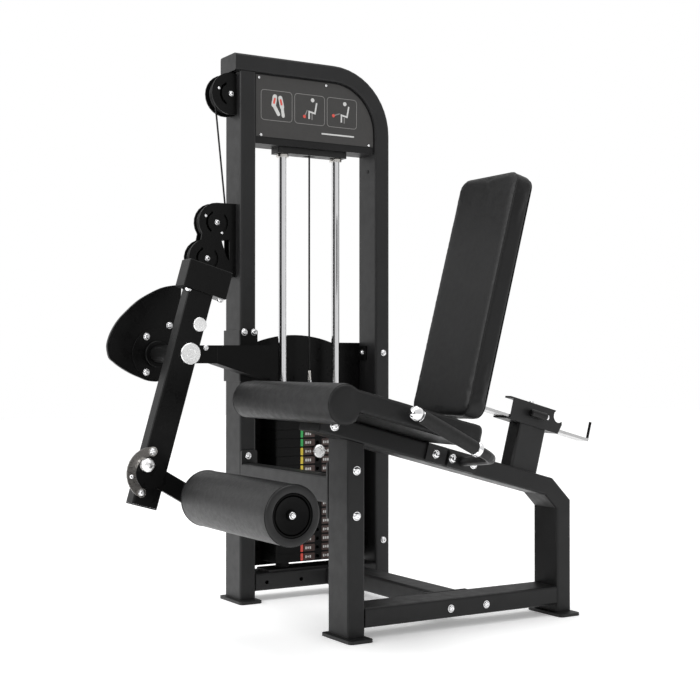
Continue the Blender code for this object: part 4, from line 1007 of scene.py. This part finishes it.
# ---- small fittings
def add_tube_caps():
    """Black plastic plugs in the open tube ends and in the upright's hole."""
    foot = on_lever(box_middle("lever_tube").x, -0.4182, -0.0125)
    outline = rounded_rectangle(0.0495, 0.0725, 0.006, 5)
    matrix = facing(foot, -LEVER_UP, LEVER_REAR)
    slab("lever_end_plug", outline, 0.0032, matrix, "nylon_black", "lever", bevel=0.001)
    outline = rounded_rectangle(0.0990, 0.0490, 0.006, 5)
    matrix = facing(on_slope(0.0, -0.0832, -0.025), -DOWN_SLOPE, UP_SLOPE)
    slab("beam_end_plug", outline, 0.0032, matrix, "nylon_black", "frame", bevel=0.001)
    wall = Vector((0.0037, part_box("tower_base_tube")[1].y, 1.283))
    profile = [(0.0, 0.0), (0.0, 0.0060), (0.0006, 0.0058), (0.0008, 0.0044), (0.0002, 0.0036), (0.0002, 0.0)]
    turned("upright_plug", profile, 24, facing(wall, FRONTWARD), "nylon_black", "frame")


def add_beam_plates():
    """Clamp plates on both sides of the seat beam, ahead of the handles."""
    outline = rounded_rectangle(0.062, 0.047, 0.005, 5)
    for side, label in ((-1, "right"), (1, "left")):
        way = NEAR * side
        matrix = facing(on_slope(side * 0.0503, 0.268, -0.0245), way, UP_SLOPE)
        slab("beam_plate_" + label, outline, 0.006, matrix, "powder_black", "frame", bevel=0.001)
        bolt("beam_plate_bolt_" + label, on_slope(side * 0.0563, 0.2663, -0.0253), way, "frame", 0.0095)


def add_sleeve_fittings():
    """Bolt on the sleeve, the pull grip's chrome nose and the sleeve of the bar's stop."""
    bolt("sleeve_bolt", on_slope(0.0170, 0.569, 0.185), UP_SLOPE, "frame", 0.0075)
    profile = [(0.0, 0.0), (0.0, 0.0070), (0.004, 0.0070), (0.006, 0.0052), (0.006, 0.0)]
    nose = on_slope(0.0440, 0.6087, 0.156)
    turned("backrest_pin_nose", profile, 24, facing(nose, DOWN_SLOPE), "chrome", "backrest_pin")
    outline = rounded_rectangle(0.0066, 0.0066, 0.0022, 3)
    matrix = facing(on_slope(0.02175, 0.7850, 0.1380), UP_SLOPE, DOWN_SLOPE)
    slab("bar_stop_sleeve", outline, 0.0465, matrix, "nylon_deep", "backrest", "nylon_black", 0.0008)


def add_clamp_trim():
    """Strap of the pivot clamp round the front upright, and the joint line on its arm."""
    outline = [(0.0580, -0.0284), (-0.0534, -0.0284), (-0.0534, 0.0258), (-0.0505, 0.0258)]
    outline += [(-0.0505, -0.0255), (0.0580, -0.0255)]
    low = Matrix.Translation((0.0, 0.0, 0.6375))
    slab("clamp_wrap", outline, 0.149, low, "powder_black", "frame", bevel=0.0008)
    outline = rounded_rectangle(0.0016, 0.046, 0.0006, 2, (-0.127, KNEE.z - 0.001))
    matrix = facing(Vector((ARM_NEAR, 0.0, 0.0)), NEAR)
    slab("arm_joint_line", outline, 0.0004, matrix, "cable_black", "frame", "powder_black")


def add_rod_collars():
    profile = [(0.0, 0.0128), (0.0, 0.0175), (0.0010, 0.0185)]
    profile += [(0.0080, 0.0185), (0.0090, 0.0175), (0.0090, 0.0128)]
    for name in ("guide_rod_front", "guide_rod_rear"):
        middle = box_middle(name)
        top = Vector((middle.x, middle.y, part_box(name)[1].z - 0.0095))
        turned(name + "_collar", profile, 36, facing(top, UPWARD, NEAR), "nickel", "frame")


def add_cable_drop():
    """Cable above the stack, with a ferrule at its foot on the stack."""
    low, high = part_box("cable_drop")
    span = high.z - low.z
    middle = box_middle("cable_drop") - UPWARD * span / 2.0
    bm = bmesh.new()
    tube_along(bm, [middle + UPWARD * span * k / 24 for k in range(25)], 0.0028, 14)
    drop = piece("cable_drop_cover", bm, "cable_black", "frame")
    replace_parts(drop, "cable_drop")
    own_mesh(drop)
    profile = [(0.0, 0.0030), (0.0, 0.0062), (0.0020, 0.0066)]
    profile += [(0.0260, 0.0052), (0.0270, 0.0046), (0.0270, 0.0030)]
    matrix = facing(middle + UPWARD * 0.0005, UPWARD, NEAR)
    turned("cable_ferrule", profile, 24, matrix, "nickel", "stack")


def add_slot_screws():
    """Small screws beside the slots of the pulley housings."""
    for name, face, y, z in (
        ("top", 0.0235, -0.0815, 1.4835),
        ("mid_front", 0.0185, -0.1200, 1.1130),
        ("mid_rear", 0.0185, -0.0690, 1.0660),
    ):
        bolt("slot_screw_" + name, (face, y, z), NEAR, "frame", 0.0042, 0.0025, False)


# ---- stage
def dark_card(tree, place, direction, start, low):
    """A factor that falls from one to low where the mirrored direction nears a dark card."""
    angle = tree.nodes.new("ShaderNodeVectorMath")
    angle.operation = "DOT_PRODUCT"
    angle.inputs[1].default_value = direction
    tree.links.new(place, angle.inputs[0])
    return map_range(tree, angle.outputs["Value"], (start, start + 0.03), (1.0, low))


def multiplied(tree, first, second):
    node = tree.nodes.new("ShaderNodeMath")
    node.operation = "MULTIPLY"
    tree.links.new(first, node.inputs[0])
    tree.links.new(second, node.inputs[1])
    return node.outputs[0]


def mixed(tree, factor, first, second=None):
    """One value where the factor is 0 and another, or 1, where it is 1."""
    node = tree.nodes.new("ShaderNodeMix")
    tree.links.new(factor, node.inputs[0])
    tree.links.new(first, node.inputs[2])
    if second:
        tree.links.new(second, node.inputs[3])
    else:
        node.inputs[3].default_value = 1.0
    return node.outputs[0]


def add_world():
    """A white studio, dimmer towards the near side, that mirrors in two dark cards."""
    world = bpy.data.worlds.new("studio")
    bpy.context.scene.world = world
    world.use_nodes = True
    tree = world.node_tree
    place = tree.nodes.new("ShaderNodeTexCoord").outputs["Generated"]
    split = tree.nodes.new("ShaderNodeSeparateXYZ")
    tree.links.new(place, split.inputs[0])
    ramp = map_range(tree, split.outputs["X"], (-0.2, 0.9), (1.0, 0.70))
    path = tree.nodes.new("ShaderNodeLightPath")
    left = dark_card(tree, place, (0.326, -0.946, 0.0), 0.92, 0.12)
    right = dark_card(tree, place, (-0.853, 0.521, 0.0), 0.90, 0.25)
    mirrored = multiplied(tree, ramp, multiplied(tree, left, right))
    glossy = mixed(tree, path.outputs["Is Glossy Ray"], ramp, mirrored)
    background = tree.nodes["Background"]
    tree.links.new(mixed(tree, path.outputs["Is Camera Ray"], glossy), background.inputs["Strength"])
    preset(background, Color=(1.0, 1.0, 1.0, 1.0))


def add_floor():
    size = 12.0
    corners = [(-size, -size), (size, -size), (size, size), (-size, size)]
    mesh = bpy.data.meshes.new("floor")
    mesh.from_pydata([(x, y, -0.0002) for x, y in corners], [], [(0, 1, 2, 3)])
    paper = bpy.data.materials.new("floor")
    paper.use_nodes = True
    shader = paper.node_tree.nodes["Principled BSDF"]
    preset(shader, Base_Color=(0.93, 0.93, 0.93, 1.0), Roughness=0.9)
    preset(shader, Emission_Color=(1.0, 1.0, 1.0, 1.0), Emission_Strength=0.25)
    mesh.materials.append(paper)
    linked("floor", mesh)


def add_lights():
    for name, place, aim, size, power in (
        ("key", (0.2, -3.6, 2.6), (0.3, 0.1, 0.7), 2.4, 90.0),
        ("top", (0.5, 0.2, 4.2), (0.4, 0.2, 0.6), 3.0, 60.0),
    ):
        lamp = bpy.data.lights.new(name, "AREA")
        lamp.shape = "RECTANGLE"
        lamp.size = size
        lamp.size_y = size
        lamp.energy = power
        linked(name, lamp).matrix_world = facing(Vector(place), Vector(place) - Vector(aim))


def add_camera():
    """The photograph's camera."""
    lens = bpy.data.cameras.new("camera")
    lens.lens = 67.744
    lens.sensor_width = 36.0
    camera = linked("camera", lens)
    camera.location = (3.4535, -1.7353, 0.69424)
    camera.rotation_euler = (pi / 2.0 + 0.009015, 0.0, 1.0222291)
    bpy.context.scene.camera = camera
    bpy.context.scene.view_settings.view_transform = "Standard"


# ---- assembly
finish_cad_nodes()
add_frame_bolts()
add_guard_bolts()
add_lever_bolts()
add_caps()
add_grips()
add_seat_cushion()
add_back_cushion()
add_foot_roller()
add_pulleys()
add_cam_trim()
add_placard_print()
add_stack_labels()
add_tube_caps()
add_beam_plates()
add_sleeve_fittings()
add_clamp_trim()
add_rod_collars()
add_cable_drop()
add_slot_screws()
add_world()
add_floor()
add_lights()
add_camera()
